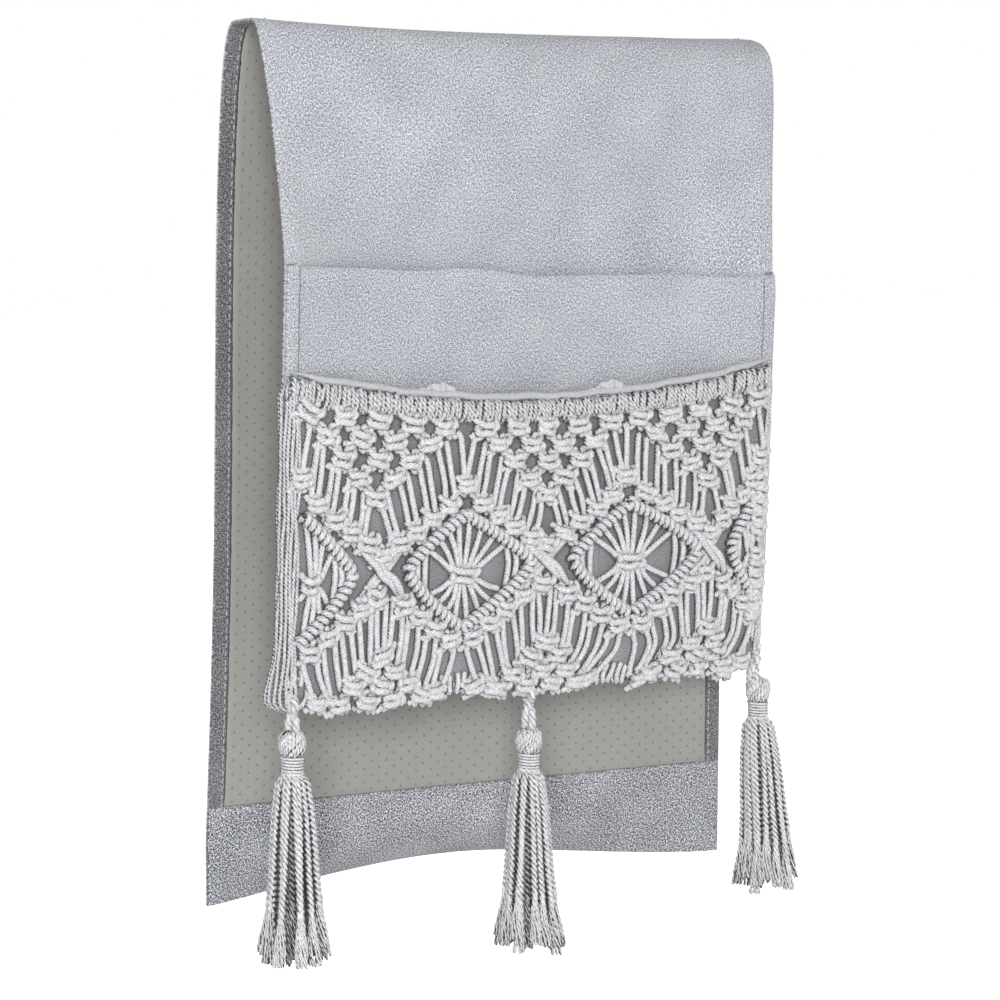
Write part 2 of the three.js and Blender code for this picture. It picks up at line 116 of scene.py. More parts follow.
# The net
PERIOD = 101.0
CENTRES = (-101.0, 0.0, 101.0)
TRIANGLE_SHIFT = (-6.0, 1.0, 3.0)
BORDERS = (-151.5, -50.5, 50.5, 151.5)
NET_HEIGHT = 174.0
LOBE = 3.0
STRAND = 1.9
KNOT_CORD = 1.85
HITCH_CORD = (1.3, 1.55)
FOOT_CORD = 1.7
EYE_CORD = 1.8
SIDE_CORD = 1.25
SWELL = 0.22
HEADER = 11.2
HITCH_STEP = 2.55
KNOT_STEP = 20.8
ROW_STEP = 10.7
FIRST_ROW = 16.7
KNOT_ROWS = 5
STRANDS = 9
FIRST_STRAND = 2.4
STRAND_STEP = 5.4
STRAND_PAIR = 0.6
UPPER_HEADS = (64, 20)
UPPER_SPREAD = (6.0, 4.5)
LOWER_FEET = (146, 170)
LOWER_SPREAD = (1.0, 8.0)
BAR_CORD = 1.9
BAR_RADIUS = 2.2
BAR_PITCH = 3.9
DIAMOND_ROW = 102.5
DIAMOND_RISE = 33.0
DIAMOND_LEFT = 35.0
DIAMOND_RIGHT = 41.0
HALF_DIAMOND = 31.0
SPIDER_ROW = 106.7
RAYS = 4
FOOT_ROWS = 4
FOOT_STEP = 7.5
FOOT_TOP = 147.5
FOOT_KNOT_GAP = 17.0
FOOT_KNOT_STEP = 12.2
FOOT_CORD_STEP = 4.6
CROSSING = (13.0, 14.0)
PULL = 15.0
# The net's facing, and the range of facing over which the sides of its cords get painted shade
NET_FACE = (0.0, -1.0, 0.0)
NET_SHADED = (-0.45, 0.85)
FOOT_SAG = 4.5
RIGHT_KNOT = 147.0

# The net's zigzags: the row at a border, the change towards a centre and the power of its curve
UPPER_ZIGZAG = (52.0, 40.0, 0.75)
LOWER_ZIGZAG = (147.0, -34.0, 0.9)

# The tassels; a skirt's rings have a count of cords, a share of its radius and a count of plies
TASSELS = {
    "left": dict(bar=(-153.0, -35.75, -347.70), head=(-153.0, -35.75, -365.00), row=169.2, lean=1.5),
    "middle": dict(bar=(-4.0, -27.36, -353.59), head=(-4.0, -27.36, -377.90), row=175.1, lean=1.0),
    "right": dict(bar=(153.0, -19.30, -347.70), head=(156.5, -19.30, -364.00), row=169.2, lean=8.0),
}
EYE_HALF = 5.0
EYE_TOP = 7.8
LOOP_RADIUS = 5.1
LOOP_LEG = 2.0
LOOP_CORD = 2.3
HEAD_RADIUS = 7.5
BALL_CORDS = 18
BALL_CORD = 1.35
BALL_CORE = 4.6
BALL_LEAN = 0.18
BALL_PROFILE = ((1.2, 5.0), (3.9, 4.5), (5.6, 2.5), (6.1, -0.6), (5.6, -3.6), (4.6, -6.4), (3.6, -8.5))
WRAP_TOP = 7.4
WRAP_FOOT = 17.0
WRAP_RADIUS = 5.0
WRAP_TURNS = 6
WRAP_CORD = 0.9
SKIRT_TOP = 17.6
SKIRT_LENGTH = 95.5
SKIRT_PROFILE = (
    (-0.07, 3.0), (0.0, 4.6), (0.04, 7.4), (0.22, 9.7), (0.41, 10.9), (0.61, 11.9), (0.76, 13.6), (1.0, 16.4),
)
SKIRT_CORD = (1.6, 2.05)
SKIRT_RINGS = ((19, 1.0, 8), (13, 0.68, 6), (6, 0.3, 5))
FRAY = 25.0
FRAY_CORD = (0.95, 0.7)
FRAY_WIDE = (0.7, 2.5)
FRAY_OUT = 3.4

# The stage, in metres and degrees; each lamp has its place, size and power
CAMERA_LENS = 109.66
CAMERA_SENSOR = 36.0
CAMERA_SPOT = (-0.886, -1.391, -0.1097)
CAMERA_DOWN = 4.9
CAMERA_TURN = -32.35
WORLD_LEVEL = 0.28
FLOOR_LEVEL = -0.56
FLOOR_SIZE = 30
FLOOR_COLOUR = (0.86, 0.86, 0.86, 1)
FLOOR_GLOW = (0.76, 0.76, 0.76, 1)
LAMP_TARGET = (0, 0, -0.25)
LAMPS = (
    ("key", (-1.6, -2.5, 0.2), 1.2, 67),
    ("fill", (2.0, -1.6, 0.6), 1.6, 14),
    ("back", (0.8, 2.8, 0.7), 1.6, 34),
)


def lerp(a, b, share):
    return a + (b - a) * share


def smoothstep(value, low, high):
    share = np.clip((value - low) / (high - low), 0, 1)
    return share * share * (3 - 2 * share)


def unit(vectors):
    return vectors / np.maximum(np.linalg.norm(vectors, axis=-1, keepdims=True), 1e-9)


def lengths_along(path):
    """How far along a path each of its points lies."""
    return np.concatenate([[0], np.cumsum(np.linalg.norm(np.diff(path, axis=0), axis=1))])


def polar(radius, turn, z=0.0):
    """A point round an upright axis."""
    return radius * math.cos(turn), radius * math.sin(turn), z


# Drape: where a point of the strip hangs


def ripple(flap, x, drop):
    """Slow waves that every layer of a flap shares."""
    phase = 0.7 if flap is FRONT else 2.1
    wave = 0.5 * np.sin(x / 41 + drop / 67 + phase) + 0.35 * np.sin(x / 23 - drop / 49 + 2 * phase)
    return wave * smoothstep(drop, 5, 70) * (1 - smoothstep(drop, 300, 335) * (flap is FRONT))


def curl(x, past):
    """How far the rear flap's foot has curled away from the arm: outward, down, and its turn."""
    bend = CURL_TURN / CURL_LENGTH * np.clip(1 - ((x - CURL_MIDDLE) / CURL_REACH) ** 2, 1e-4, 1)
    turn = bend * past
    return (1 - np.cos(turn)) / bend, np.sin(turn) / bend, turn


def hang_in(flap, x, drop):
    """How far the rear's left edge and the front's right one hang inside their plain curve."""
    if flap is REAR:
        share = np.clip((HANG_EDGE - x) / (HALF + HANG_EDGE), 0, 1)
        return REAR_HANG_IN * share * np.sin(math.pi * np.clip(drop / REAR_HANG_LENGTH, 0, 1))
    share = smoothstep(x, -HANG_EDGE, HALF)
    return FRONT_HANG_IN * share * np.sin(math.pi * np.clip(drop / FRONT_HANG_LENGTH, 0, 1) ** 0.75)


def crown_dip(flap, x, drop):
    """The crown's sag, left of its middle, and the round of its right front corner."""
    reach = np.where(x < DIP_MIDDLE, *DIP_REACH)
    dip = CROWN_DIP * np.clip(1 - ((x - DIP_MIDDLE) / reach) ** 2, 0, 1) * (1 - smoothstep(drop, 0, 90))
    if flap is REAR:
        return dip
    corner = smoothstep(x, 70, HALF) * smoothstep(drop, -FOLD, 10) * (1 - smoothstep(drop, 25, 110))
    return dip + CORNER_DIP * corner


def bend_curve(flap, across, t):
    """A flap's bend below the crown: outward and up, with its slopes, at a share t of the curve."""
    out = lerp(*flap["out"], across)
    shoulder = lerp(*flap["shoulder"], across)
    hang = lerp(*flap["hang"], across)
    bend = flap["bend"]
    reach = out + flap["lean"] * hang
    s = 1 - t
    q = 3 * s * s * t * shoulder + 3 * s * t * t * reach + t**3 * out
    z = -(3 * s * t * t * (bend - hang) + t**3 * bend)
    dq = s * s * shoulder + 2 * s * t * (reach - shoulder) + t * t * (out - reach)
    dz = 2 * s * t * (hang - bend) - t * t * hang
    return q, z, dq, dz


def even_steps(flap):
    """Shares of the length of a flap's bend, and the shares of its curve where they lie."""
    t = np.linspace(0, 1, 200)
    q, z, _, _ = bend_curve(flap, 0.5, t)
    along = lengths_along(np.stack([q, z], axis=-1))
    return along / along[-1], t


for flap in (FRONT, REAR):
    flap["even"] = even_steps(flap)


def place(flap, x, drop, stand):
    """World points of the strip, in millimetres."""
    x, drop, stand = np.broadcast_arrays(*(np.asarray(value, float) for value in (x, drop, stand)))
    stand = stand + ripple(flap, x, drop)
    bend, lean = flap["bend"], flap["lean"]
    t = np.interp(np.clip(drop / bend, 0, 1), *flap["even"])
    q, z, dq, dz = bend_curve(flap, x / WIDTH + 0.5, t)
    length = np.hypot(dq, dz)
    normal_q, normal_z = -dz / length, dq / length
    below = np.maximum(drop - bend, 0)
    q = q + np.minimum(drop, 0) - hang_in(flap, x, drop)
    if flap is REAR:
        past = np.maximum(drop - (REAR_DROP - CURL_LENGTH), 0)
        away, down, turn = curl(x, past)
        below = below - past + down
        q = q + away
        turned = past > 0
        normal_q = np.where(turned, np.cos(turn), normal_q)
        normal_z = np.where(turned, np.sin(turn), normal_z)
    q = q - lean * below
    z = z - below - crown_dip(flap, x, drop)
    return np.stack([x, flap["side"] * (FOLD + q + stand * normal_q), z + stand * normal_z], axis=-1)


def bow(x):
    """1 in the pockets' middle, 0 at their sewn sides."""
    return np.clip(1 - (x / BOW_REACH) ** 4, 0, 1)


def sag(x):
    """1 in the strip's middle, 0 at its edges."""
    return 1 - (x / HALF) ** 2


def upper_rim(x):
    """The upper pocket's rim, which gapes a little in waves."""
    wave = 1.1 * np.sin(x / 19 + 0.6) + 0.7 * np.sin(x / 11 + 2)
    return lerp(*UPPER_RIM, x / WIDTH + 0.5) + UPPER_SAG * sag(x) + wave * bow(x)


def net_rim(x):
    return NET_RIM + NET_SAG * sag(x)


def give(x, drop, rim, depth, power):
    """How far a pocket stands open, most at its rim and not at all at its foot."""
    down = np.clip((drop - rim) / (POCKET_FOOT - rim), 0, 1)
    return depth * bow(x) * (1 - down**power) * smoothstep(drop, HOLLOW_TOP, UPPER_RIM[0])


def net_give(x, drop):
    return give(x, drop, NET_RIM, NET_DEPTH, 3)


def hollow(flap, x, drop):
    """How far the pockets' fullness lets the flap behind them fall inward."""
    if flap is REAR:
        return 0.0
    return -give(x, drop, UPPER_RIM[1], UPPER_DEPTH, 4) - net_give(x, drop)


def net_drop(u, v):
    return np.where(v > SAG_ROW, NET_RIM + v, lerp(net_rim(u), NET_RIM + SAG_ROW, v / SAG_ROW))


def net_pull(u, v):
    """How far the pattern is drawn to the right between its header and its foot."""
    rows = smoothstep(v, 10, 100) * (1 - smoothstep(v, 150, 172))
    return PULL * smoothstep(u, -50, 110) * (1 - smoothstep(u, 95, 162)) * rows


def net_place(path):
    u, v, w = path[:, 0], path[:, 1], path[:, 2]
    u = u + net_pull(u, v)
    return place(FRONT, u, net_drop(u, v), NET_STAND + w)


# Meshes


def add_object(name, data):
    made = bpy.data.objects.new(name, data)
    bpy.context.scene.collection.objects.link(made)
    return made


def make_mesh(name, points, faces, material, uv=None, painted_shades=None):
    """A closed mesh object with faces that look outward; a cord's painted shade is its groove attribute."""
    mesh = bpy.data.meshes.new(name)
    mesh.from_pydata((np.asarray(points) * MM).tolist(), [], faces)
    if uv is not None:
        corner = np.zeros(len(mesh.loops), int)
        mesh.loops.foreach_get("vertex_index", corner)
        layer = mesh.uv_layers.new(name="cut")
        layer.data.foreach_set("uv", np.asarray(uv, float)[corner].ravel())
    mesh.shade_smooth()
    if painted_shades is None:
        mesh.set_sharp_from_angle(angle=math.radians(65))
    else:
        # The groove attribute holds painted shade: in grooves, on sides turned from the light and on hidden
        # cores.
        mesh.attributes.new("groove", "FLOAT", "POINT").data.foreach_set("value", painted_shades)
    mesh.materials.append(material)
    return add_object(name, mesh)


def grid_quads(grid):
    return np.stack([grid[:-1, :-1], grid[:-1, 1:], grid[1:, 1:], grid[1:, :-1]], axis=-1).reshape(-1, 4)


def stations(low, high, step, soft=0.4):
    """Even stations with one more close to each end, where the edge is rounded."""
    count = max(int((high - low) / step), 2)
    return np.concatenate([[low], np.linspace(low + soft, high - soft, count + 1), [high]])


def sheet_faces(shape, flipped):
    """Faces of a closed sheet: a grid of near points, one of far points, and the rim between them."""
    grid = np.arange(shape[0] * shape[1]).reshape(shape)
    border = np.concatenate([grid[0, :-1], grid[:-1, -1], grid[-1, :0:-1], grid[:0:-1, 0]])
    after = np.roll(border, -1)
    rim = np.stack([border, after, after + grid.size, border + grid.size], axis=-1)
    faces = np.concatenate([grid_quads(grid)[:, ::-1], grid_quads(grid) + grid.size, rim])
    return (faces[:, ::-1] if flipped else faces).tolist()


def sheet_piece(name, flap, x, drop, middle, thick, material, joined=False):
    """A sheet of cloth with soft edges, from grids; a joined one goes on past its first edge."""
    soft = np.ones(x.shape)
    soft[[0, -1], :] = 0.45
    soft[:, [0, -1]] = 0.45
    if joined:
        soft[0, 1:-1] = 1.0
    near, far = (place(flap, x, drop, middle + side * soft * thick / 2).reshape(-1, 3) for side in (-1, 1))
    along = -drop - 2 * FOLD if flap is REAR else drop
    uv = np.stack([x.ravel(), along.ravel()], axis=-1)
    faces = sheet_faces(x.shape, flap is REAR)
    return make_mesh(name, np.concatenate([near, far]), faces, material, np.concatenate([uv, uv]))


def smooth_path(points, step):
    """A smooth curve through the points, sampled about a step apart."""
    points = np.asarray(points, float)
    ends = np.vstack([2 * points[0] - points[1], points, 2 * points[-1] - points[-2]])
    t = np.linspace(0, 1, 9)[:-1, None]
    runs = []
    for a, b, c, d in zip(ends, ends[1:], ends[2:], ends[3:]):
        bend = (c - a) * t + (2 * a - 5 * b + 4 * c - d) * t**2 + (3 * b - a - 3 * c + d) * t**3
        runs.append(b + bend / 2)
    fine = np.vstack(runs + [points[-1:]])
    along = lengths_along(fine)
    at = np.linspace(0, along[-1], max(int(along[-1] / step) + 1, 4))
    return np.stack([np.interp(at, along, fine[:, axis]) for axis in range(3)], axis=-1)


def frames(path):
    """Two directions across the path at each point, carried along it without twist."""
    tangents = unit(np.gradient(path, axis=0))
    across = np.eye(3)[np.argmin(np.abs(tangents[0]))]
    normals = np.empty_like(path)
    for i, tangent in enumerate(tangents):
        across = across - tangent * (tangent @ across)
        across = across / math.sqrt(across @ across)
        normals[i] = across
    return normals, np.cross(tangents, normals)


class Bundle:
    """Cords gathered into one mesh."""

    def __init__(self):
        self.points = []
        self.faces = []
        self.painted_shades = []
        self.count = 0

    def add(self, path, radius, lay=2.4, groove=0.2, mark=0.33, strands=5, deep=0.0, outward=None,
            shaded=(-0.6, 0.55)):
        """One laid cord along world points: strands twisted round each other, lay diameters to a turn.

        It carries painted shade in its groove attribute: in its grooves, all over as deep, and on the side
        that looks away from outward, from fully to not at all between the two shaded values of its facing.
        """
        sides = 2 * strands
        normals, binormals = frames(path)
        width = np.broadcast_to(np.asarray(radius, float), len(path))
        corner = np.arange(sides) * math.pi / strands
        dip = np.arange(sides) % 2
        turn = lengths_along(path) * math.pi / (lay * width.mean()) + chance.uniform(0, 6)
        angle = corner[None, :] - turn[:, None]
        reach = width[:, None] * (1 - groove * dip)[None, :]
        ring = normals[:, None] * np.cos(angle)[..., None] + binormals[:, None] * np.sin(angle)[..., None]
        tube = (path[:, None] + reach[..., None] * ring).reshape(-1, 3)
        index = np.arange(len(tube)).reshape(len(path), sides)
        around = np.concatenate([index, index[:, :1]], axis=1) + self.count
        self.faces += grid_quads(around).tolist()
        first, last = self.count + len(tube), self.count + len(tube) + 1
        self.faces += [[first, a, b] for a, b in zip(around[0, 1:].tolist(), around[0, :-1].tolist())]
        self.faces += [[last, a, b] for a, b in zip(around[-1, :-1].tolist(), around[-1, 1:].tolist())]
        self.points += [tube, path[:1], path[-1:]]
        # Painted shade: darker in the grooves, all over by deep, and on the side turned from outward.
        depth = np.tile(dip * mark + deep, (len(path), 1))
        if outward is not None:
            facing = np.einsum("nsk,nk->ns", ring, np.broadcast_to(outward, path.shape))
            depth = depth + 1 - smoothstep(facing, *shaded)
        self.painted_shades += [np.clip(depth.ravel(), 0, 1), np.full(2, deep)]
        self.count += len(tube) + 2

    def mesh(self, name, material):
        painted_shades = np.concatenate(self.painted_shades)
        return make_mesh(name, np.concatenate(self.points), self.faces, material, painted_shades=painted_shades)

    def piece(self, name, material, body, *nodes):
        """The bundle as one piece that rides on a body and stands for CAD nodes."""
        settle(self.mesh(name, material), "cord", body, *nodes)


def dress(nodes):
    """Hides the CAD nodes that a piece stands for."""
    if nodes:
        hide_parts(*nodes)


def settle(piece, slot, body, *nodes):
    dress(nodes)
    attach(piece, body)


# Materials


def add_node(tree, kind, links=(), **settings):
    """A node with its inputs and properties set, and sources linked to its inputs."""
    made = tree.nodes.new(kind)
    for name, value in settings.items():
        if name in made.inputs:
            made.inputs[name].default_value = value
        else:
            setattr(made, name, value)
    for name, source in dict(links).items():
        tree.links.new(source, made.inputs[name])
    return made


class Recipe:
    """A procedural material that is built up node by node."""

    def __init__(self, name, roughness, sheen=0.0):
        self.material = bpy.data.materials.new(name)
        self.material.use_nodes = True
        self.tree = self.material.node_tree
        self.shader = self.tree.nodes["Principled BSDF"]
        self.shader.inputs["Roughness"].default_value = roughness
        self.shader.inputs["Sheen Weight"].default_value = sheen
        self.shader.inputs["Specular IOR Level"].default_value = 0.25

    def node(self, kind, links=(), **settings):
        return add_node(self.tree, kind, links, **settings)

    def noise(self, space, scale, stretch=(1, 1, 1), detail=2.0):
        placed = self.node("ShaderNodeMapping", {"Vector": space}, Scale=stretch)
        made = self.node("ShaderNodeTexNoise", {"Vector": placed.outputs[0]}, Scale=scale, Detail=detail)
        return made.outputs["Fac"]

    def math(self, operation, a, b):
        made = self.node("ShaderNodeMath", {0: a}, operation=operation)
        if isinstance(b, (int, float)):
            made.inputs[1].default_value = b
        else:
            self.tree.links.new(b, made.inputs[1])
        return made.outputs[0]

    def ramp(self, factor, *stops):
        made = self.node("ShaderNodeValToRGB", {"Fac": factor})
        while len(made.color_ramp.elements) < len(stops):
            made.color_ramp.elements.new(0.5)
        for element, (position, colour) in zip(made.color_ramp.elements, stops):
            element.position = position
            element.color = (*colour, 1)
        return made.outputs["Color"]

    def finish(self, colour, height, depth):
        """Links the colour and a bump of the given depth in millimetres."""
        bump = self.node("ShaderNodeBump", {"Height": height}, Distance=depth * MM, Strength=1.0)
        self.tree.links.new(colour, self.shader.inputs["Base Color"])
        self.tree.links.new(bump.outputs[0], self.shader.inputs["Normal"])
        return self.material


def woven(name, dark, middle, light, grain=1.8, contrast=1.0):
    """Crepe cloth of two greys: irregular yarns both ways, with a salt-and-pepper grain."""
    recipe = Recipe(name, 0.85, sheen=0.2)
    cut = recipe.node("ShaderNodeTexCoord").outputs["UV"]
    warp = recipe.noise(cut, grain, (1.0, 0.5, 1))
    weft = recipe.noise(cut, grain, (0.5, 1.0, 1))
    pebble = recipe.noise(cut, grain * 0.55, detail=3.0)
    patch = recipe.noise(cut, 0.03, detail=1.0)
    yarns = recipe.math("ADD", warp, weft)
    mixed = recipe.math("ADD", yarns, recipe.math("MULTIPLY", pebble, 0.5))
    toned = recipe.math("ADD", mixed, recipe.math("MULTIPLY", patch, 0.12))
    spread = 0.13 / contrast
    factor = recipe.math("DIVIDE", toned, 2.66)
    colour = recipe.ramp(factor, (0.5 - spread, dark), (0.5, middle), (0.5 + spread, light))
    return recipe.finish(colour, mixed, 0.35)


def rubber_sheet(name, colour, light):
    """Smooth, slightly rubbery backing with a faint mottle."""
    recipe = Recipe(name, 0.6)
    cut = recipe.node("ShaderNodeTexCoord").outputs["UV"]
    fine = recipe.noise(cut, 0.9, detail=3.0)
    broad = recipe.noise(cut, 0.05)
    shade = recipe.math("ADD", recipe.math("MULTIPLY", fine, 0.5), recipe.math("MULTIPLY", broad, 0.5))
    return recipe.finish(recipe.ramp(shade, (0.3, colour), (0.7, light)), fine, 0.12)


def spun_cord(name, groove, shade, light):
    """Soft cotton cord: fine fibres over its strands, which are geometry, and painted shade in the grooves
    between them.
    """
    recipe = Recipe(name, 0.9, sheen=0.2)
    space = recipe.node("ShaderNodeTexCoord").outputs["Object"]
    fibre = recipe.noise(space, 1500, detail=3.0)
    tuft = recipe.noise(space, 600)
    # Painted shade from the groove attribute darkens the cord towards the groove colour.
    depth = recipe.node("ShaderNodeAttribute", attribute_name="groove").outputs["Fac"]
    tone = recipe.math("ADD", recipe.math("MULTIPLY", tuft, 0.5), recipe.math("MULTIPLY", fibre, 0.6))
    painted_darkening = recipe.math("MULTIPLY", recipe.math("POWER", depth, 1.3), 0.64)
    level = recipe.math("SUBTRACT", recipe.math("ADD", tone, 0.22), painted_darkening)
    height = recipe.math("ADD", fibre, tuft)
    return recipe.finish(recipe.ramp(level, (0.25, groove), (0.6, shade), (0.88, light)), height, 0.4)


CLOTH = woven("grey_cloth", (0.20, 0.21, 0.24), (0.47, 0.485, 0.53), (0.80, 0.81, 0.85), contrast=1.75)
TURNED = woven("turned_cloth", (0.05, 0.05, 0.055), (0.18, 0.18, 0.19), (0.46, 0.465, 0.49), contrast=1.7)
BAND = woven("band_cloth", (0.06, 0.065, 0.085), (0.33, 0.335, 0.365), (0.86, 0.87, 0.92), 1.9, contrast=2.8)
# The pocket lining is the strip's grey cloth painted darker: painted shade behind the net and in the pocket.
POCKET_LINING = woven("pocket_lining", (0.23, 0.235, 0.245), (0.36, 0.365, 0.38), (0.50, 0.505, 0.52))
ROLL = spun_cord("rolled_rim", (0.38, 0.385, 0.40), (0.50, 0.505, 0.52), (0.62, 0.625, 0.64))
LINING = rubber_sheet("lining", (0.325, 0.317, 0.297), (0.358, 0.35, 0.33))
DOTS = rubber_sheet("dots", (0.245, 0.237, 0.22), (0.28, 0.27, 0.25))
CORD = spun_cord("cord", (0.045, 0.048, 0.055), (0.57, 0.58, 0.595), (0.88, 0.885, 0.895))
# The tassels' cord is the net's cord painted brighter: painted light on the tassels.
TASSEL_CORD = spun_cord("tassel_cord", (0.04, 0.043, 0.05), (0.70, 0.71, 0.725), (0.97, 0.975, 0.985))
THREAD = spun_cord("thread", (0.28, 0.28, 0.29), (0.46, 0.465, 0.48), (0.62, 0.625, 0.64))
PALE_THREAD = spun_cord("pale_thread", (0.30, 0.31, 0.33), (0.58, 0.59, 0.62), (0.80, 0.81, 0.84))
# Near-black seam thread: the stitching, with painted shade in the seam's crease.
SHADED_SEAM_THREAD = spun_cord("shaded_seam_thread", (0.08, 0.08, 0.085), (0.16, 0.16, 0.17), (0.26, 0.265, 0.28))
# Near-black cord: painted shadow along the inner edge of each turning.
EDGE_SHADOW = spun_cord("painted_edge_shadow", (0.03, 0.03, 0.03), (0.07, 0.07, 0.075), (0.11, 0.11, 0.115))


# Strip: cloth, lining, hems and tail band


def strip_grid(low, high, top, foot, across=3.2):
    return np.meshgrid(stations(low, high, across), stations(top, foot, STRIP_STEP))


def hinge(piece, flap, slot, *nodes):
    """The piece's place is baked into its mesh, and it stands for CAD nodes."""
    dress(nodes)
    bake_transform(piece)


def layer(name, flap, low, high, top, foot, stand, thick, material):
    x, drop = strip_grid(low, high, top, foot)
    return sheet_piece(name, flap, x, drop, stand + hollow(flap, x, drop), thick, material, joined=True)


def dots(name, flap, low, high, top, foot):
    """Raised rubber dots in staggered rows over a lining."""
    row_step, dot_step, radius, height, sides = 3.8, 9.2, 0.95, 0.35, 6
    rows = np.arange(top + row_step / 2, foot, row_step)
    spots = []
    for i, drop in enumerate(rows):
        shift = dot_step / 2 * (i % 2)
        spots += [(x, drop) for x in np.arange(low + 4 + shift, high - 2, dot_step)]
    spot = np.array(spots)
    turn = np.arange(sides) * 2 * math.pi / sides
    rings = []
    for share, rise in ((1.0, -0.1), (0.65, height * 0.75), (0.0, height)):
        x = spot[:, 0, None] + radius * share * np.cos(turn)
        drop = spot[:, 1, None] + radius * share * np.sin(turn)
        face = LINING_STAND - LINING_THICK / 2 - rise + hollow(flap, x, drop)
        rings.append(place(flap, x, drop, face))
    points = np.stack(rings, axis=1).reshape(-1, 3)
    index = np.arange(len(points)).reshape(len(spot), 3, sides)
    around = np.concatenate([index, index[:, :, :1]], axis=2)
    faces = np.concatenate([grid_quads(one) for one in around])
    if flap is FRONT:
        faces = faces[:, ::-1]
    uv = np.zeros((len(points), 2))
    return make_mesh(name, points, faces.tolist(), DOTS, uv)


def make_strip(flap, word, foot, lining_foot):
    cloth = layer(f"{word}_strip", flap, -HALF, HALF, -FOLD, foot, CLOTH_STAND, CLOTH_THICK, CLOTH)
    hinge(cloth, flap, "cloth", "crown_cloth", f"{word}_cloth")
    inner = HALF - HEM_WIDTH - 0.3
    lining = layer(f"{word}_backing", flap, -inner, inner, -FOLD, lining_foot, LINING_STAND, LINING_THICK,
                   LINING)
    hinge(lining, flap, "lining", "crown_lining", f"{word}_lining")
    spots = dots(f"{word}_dots", flap, -inner, inner, -FOLD, lining_foot)
    hinge(spots, flap, "lining", f"{word}_lining")
    for hand, low, high in (("left", -HALF, -HALF + HEM_WIDTH), ("right", HALF - HEM_WIDTH, HALF)):
        x, drop = strip_grid(low, high, -FOLD, foot, across=1.5)
        middle = HEM_STAND + hollow(flap, x, drop)
        hem = sheet_piece(f"{word}_{hand}_turning", flap, x, drop, middle, HEM_THICK, TURNED, joined=True)
        hinge(hem, flap, "cloth", f"crown_{hand}_hem", f"{word}_{hand}_hem")


def make_tail_band():
    x, drop = strip_grid(-HALF + 0.5, HALF - 0.5, REAR_DROP - TAIL_BAND, REAR_DROP - 0.3)
    band = sheet_piece("tail_turning", REAR, x, drop, HEM_STAND - 0.55, HEM_THICK, BAND)
    settle(band, "cloth", "rear_flap", "tail_band")


def stitch_row(bundle, flap, start, end, level, inward):
    """Short stitches from one place on the strip to another, each pulled into the cloth at its ends."""
    pitch, length, radius = 4.3, 2.9, 0.4
    (x0, drop0), (x1, drop1) = start, end
    count = int(math.hypot(x1 - x0, drop1 - drop0) / pitch)
    rise = np.array([-0.45, 0.1, 0.25, 0.1, -0.45]) * (-1 if inward else 1)
    for i in range(count):
        share = (i + np.linspace(0, length / pitch, 5)) / count
        x = lerp(x0, x1, share) + chance.normal(0, 0.12)
        drop = lerp(drop0, drop1, share)
        stand = level + hollow(flap, x, drop) + rise
        bundle.add(place(flap, x, drop, stand), radius, lay=5, strands=3)


def make_seams():
    """Hem seams on both faces of the strip, with a near-black cord along the unfinished inner edge of each
    turning as painted shadow.
    """
    seam = HALF - HEM_WIDTH + 1.6
    edge = HALF - HEM_WIDTH - 0.1
    face = CLOTH_STAND + CLOTH_THICK / 2
    back = HEM_STAND - HEM_THICK / 2
    for flap, word, foot in ((FRONT, "front", FRONT_DROP - 4), (REAR, "rear", REAR_DROP - 4)):
        stitches = Bundle()
        edge_shadows = Bundle()
        for hand in (-1, 1):
            for level, inward in ((face, False), (back, True)):
                shown = flap is FRONT and not inward
                end = float(upper_rim(hand * seam)) - 4 if shown else foot
                stitch_row(stitches, flap, (hand * seam, -FOLD), (hand * seam, end), level, inward)
            # A near-black cord along each turning's inner edge: painted shadow.
            drop = np.linspace(-FOLD, foot - TAIL_BAND * (flap is REAR), 140)
            x = hand * edge + 0.15 * np.sin(drop / 3)
            edge_shadows.add(place(flap, x, drop, back + 0.25 + hollow(flap, x, drop)), 0.5, strands=3)
        if flap is REAR:
            row = REAR_DROP - TAIL_BAND + 2.4
            for level, inward in ((face, False), (back - 0.6, True)):
                stitch_row(stitches, flap, (-HALF + 3, row), (HALF - 3, row), level, inward)
        hinge(stitches.mesh(f"{word}_stitches", THREAD), flap, "cloth")
        hinge(edge_shadows.mesh(f"{word}_raw_edge_shadows", EDGE_SHADOW), flap, "cloth")


# Pockets


def pocket_grid(rim, foot, reach, along, step=2.6):
    across = stations(-reach, reach, step)
    share = stations(0, 1, along, soft=0.002)
    x, part = np.meshgrid(across, share)
    return x, lerp(rim(x), foot, part)


def side_fold(x):
    """The upper pocket's sides stand up where they are folded under, beside their seams."""
    return smoothstep(np.abs(x), SIDE_SEAM, SIDE_SEAM + 2.6)


def make_upper_pocket():
    x, drop = pocket_grid(upper_rim, POCKET_FOOT, HALF - 0.4, 0.014, step=1.3)
    middle = PANEL_STAND - net_give(x, drop) + side_fold(x)
    panel = sheet_piece("upper_panel", FRONT, x, drop, middle, POCKET_CLOTH, CLOTH)
    settle(panel, "cloth", "front_flap", "upper_pocket")
    reach = BOW_REACH - 3
    x, drop = pocket_grid(lambda x: upper_rim(x) + 1.1, upper_rim(0) + UPPER_HEM + 0.5, reach, 0.12)
    hem = sheet_piece("upper_rim_turning", FRONT, x, drop, PANEL_STAND - 1.05 - net_give(x, drop), 0.9, CLOTH)
    settle(hem, "cloth", "front_flap", "upper_pocket_hem")


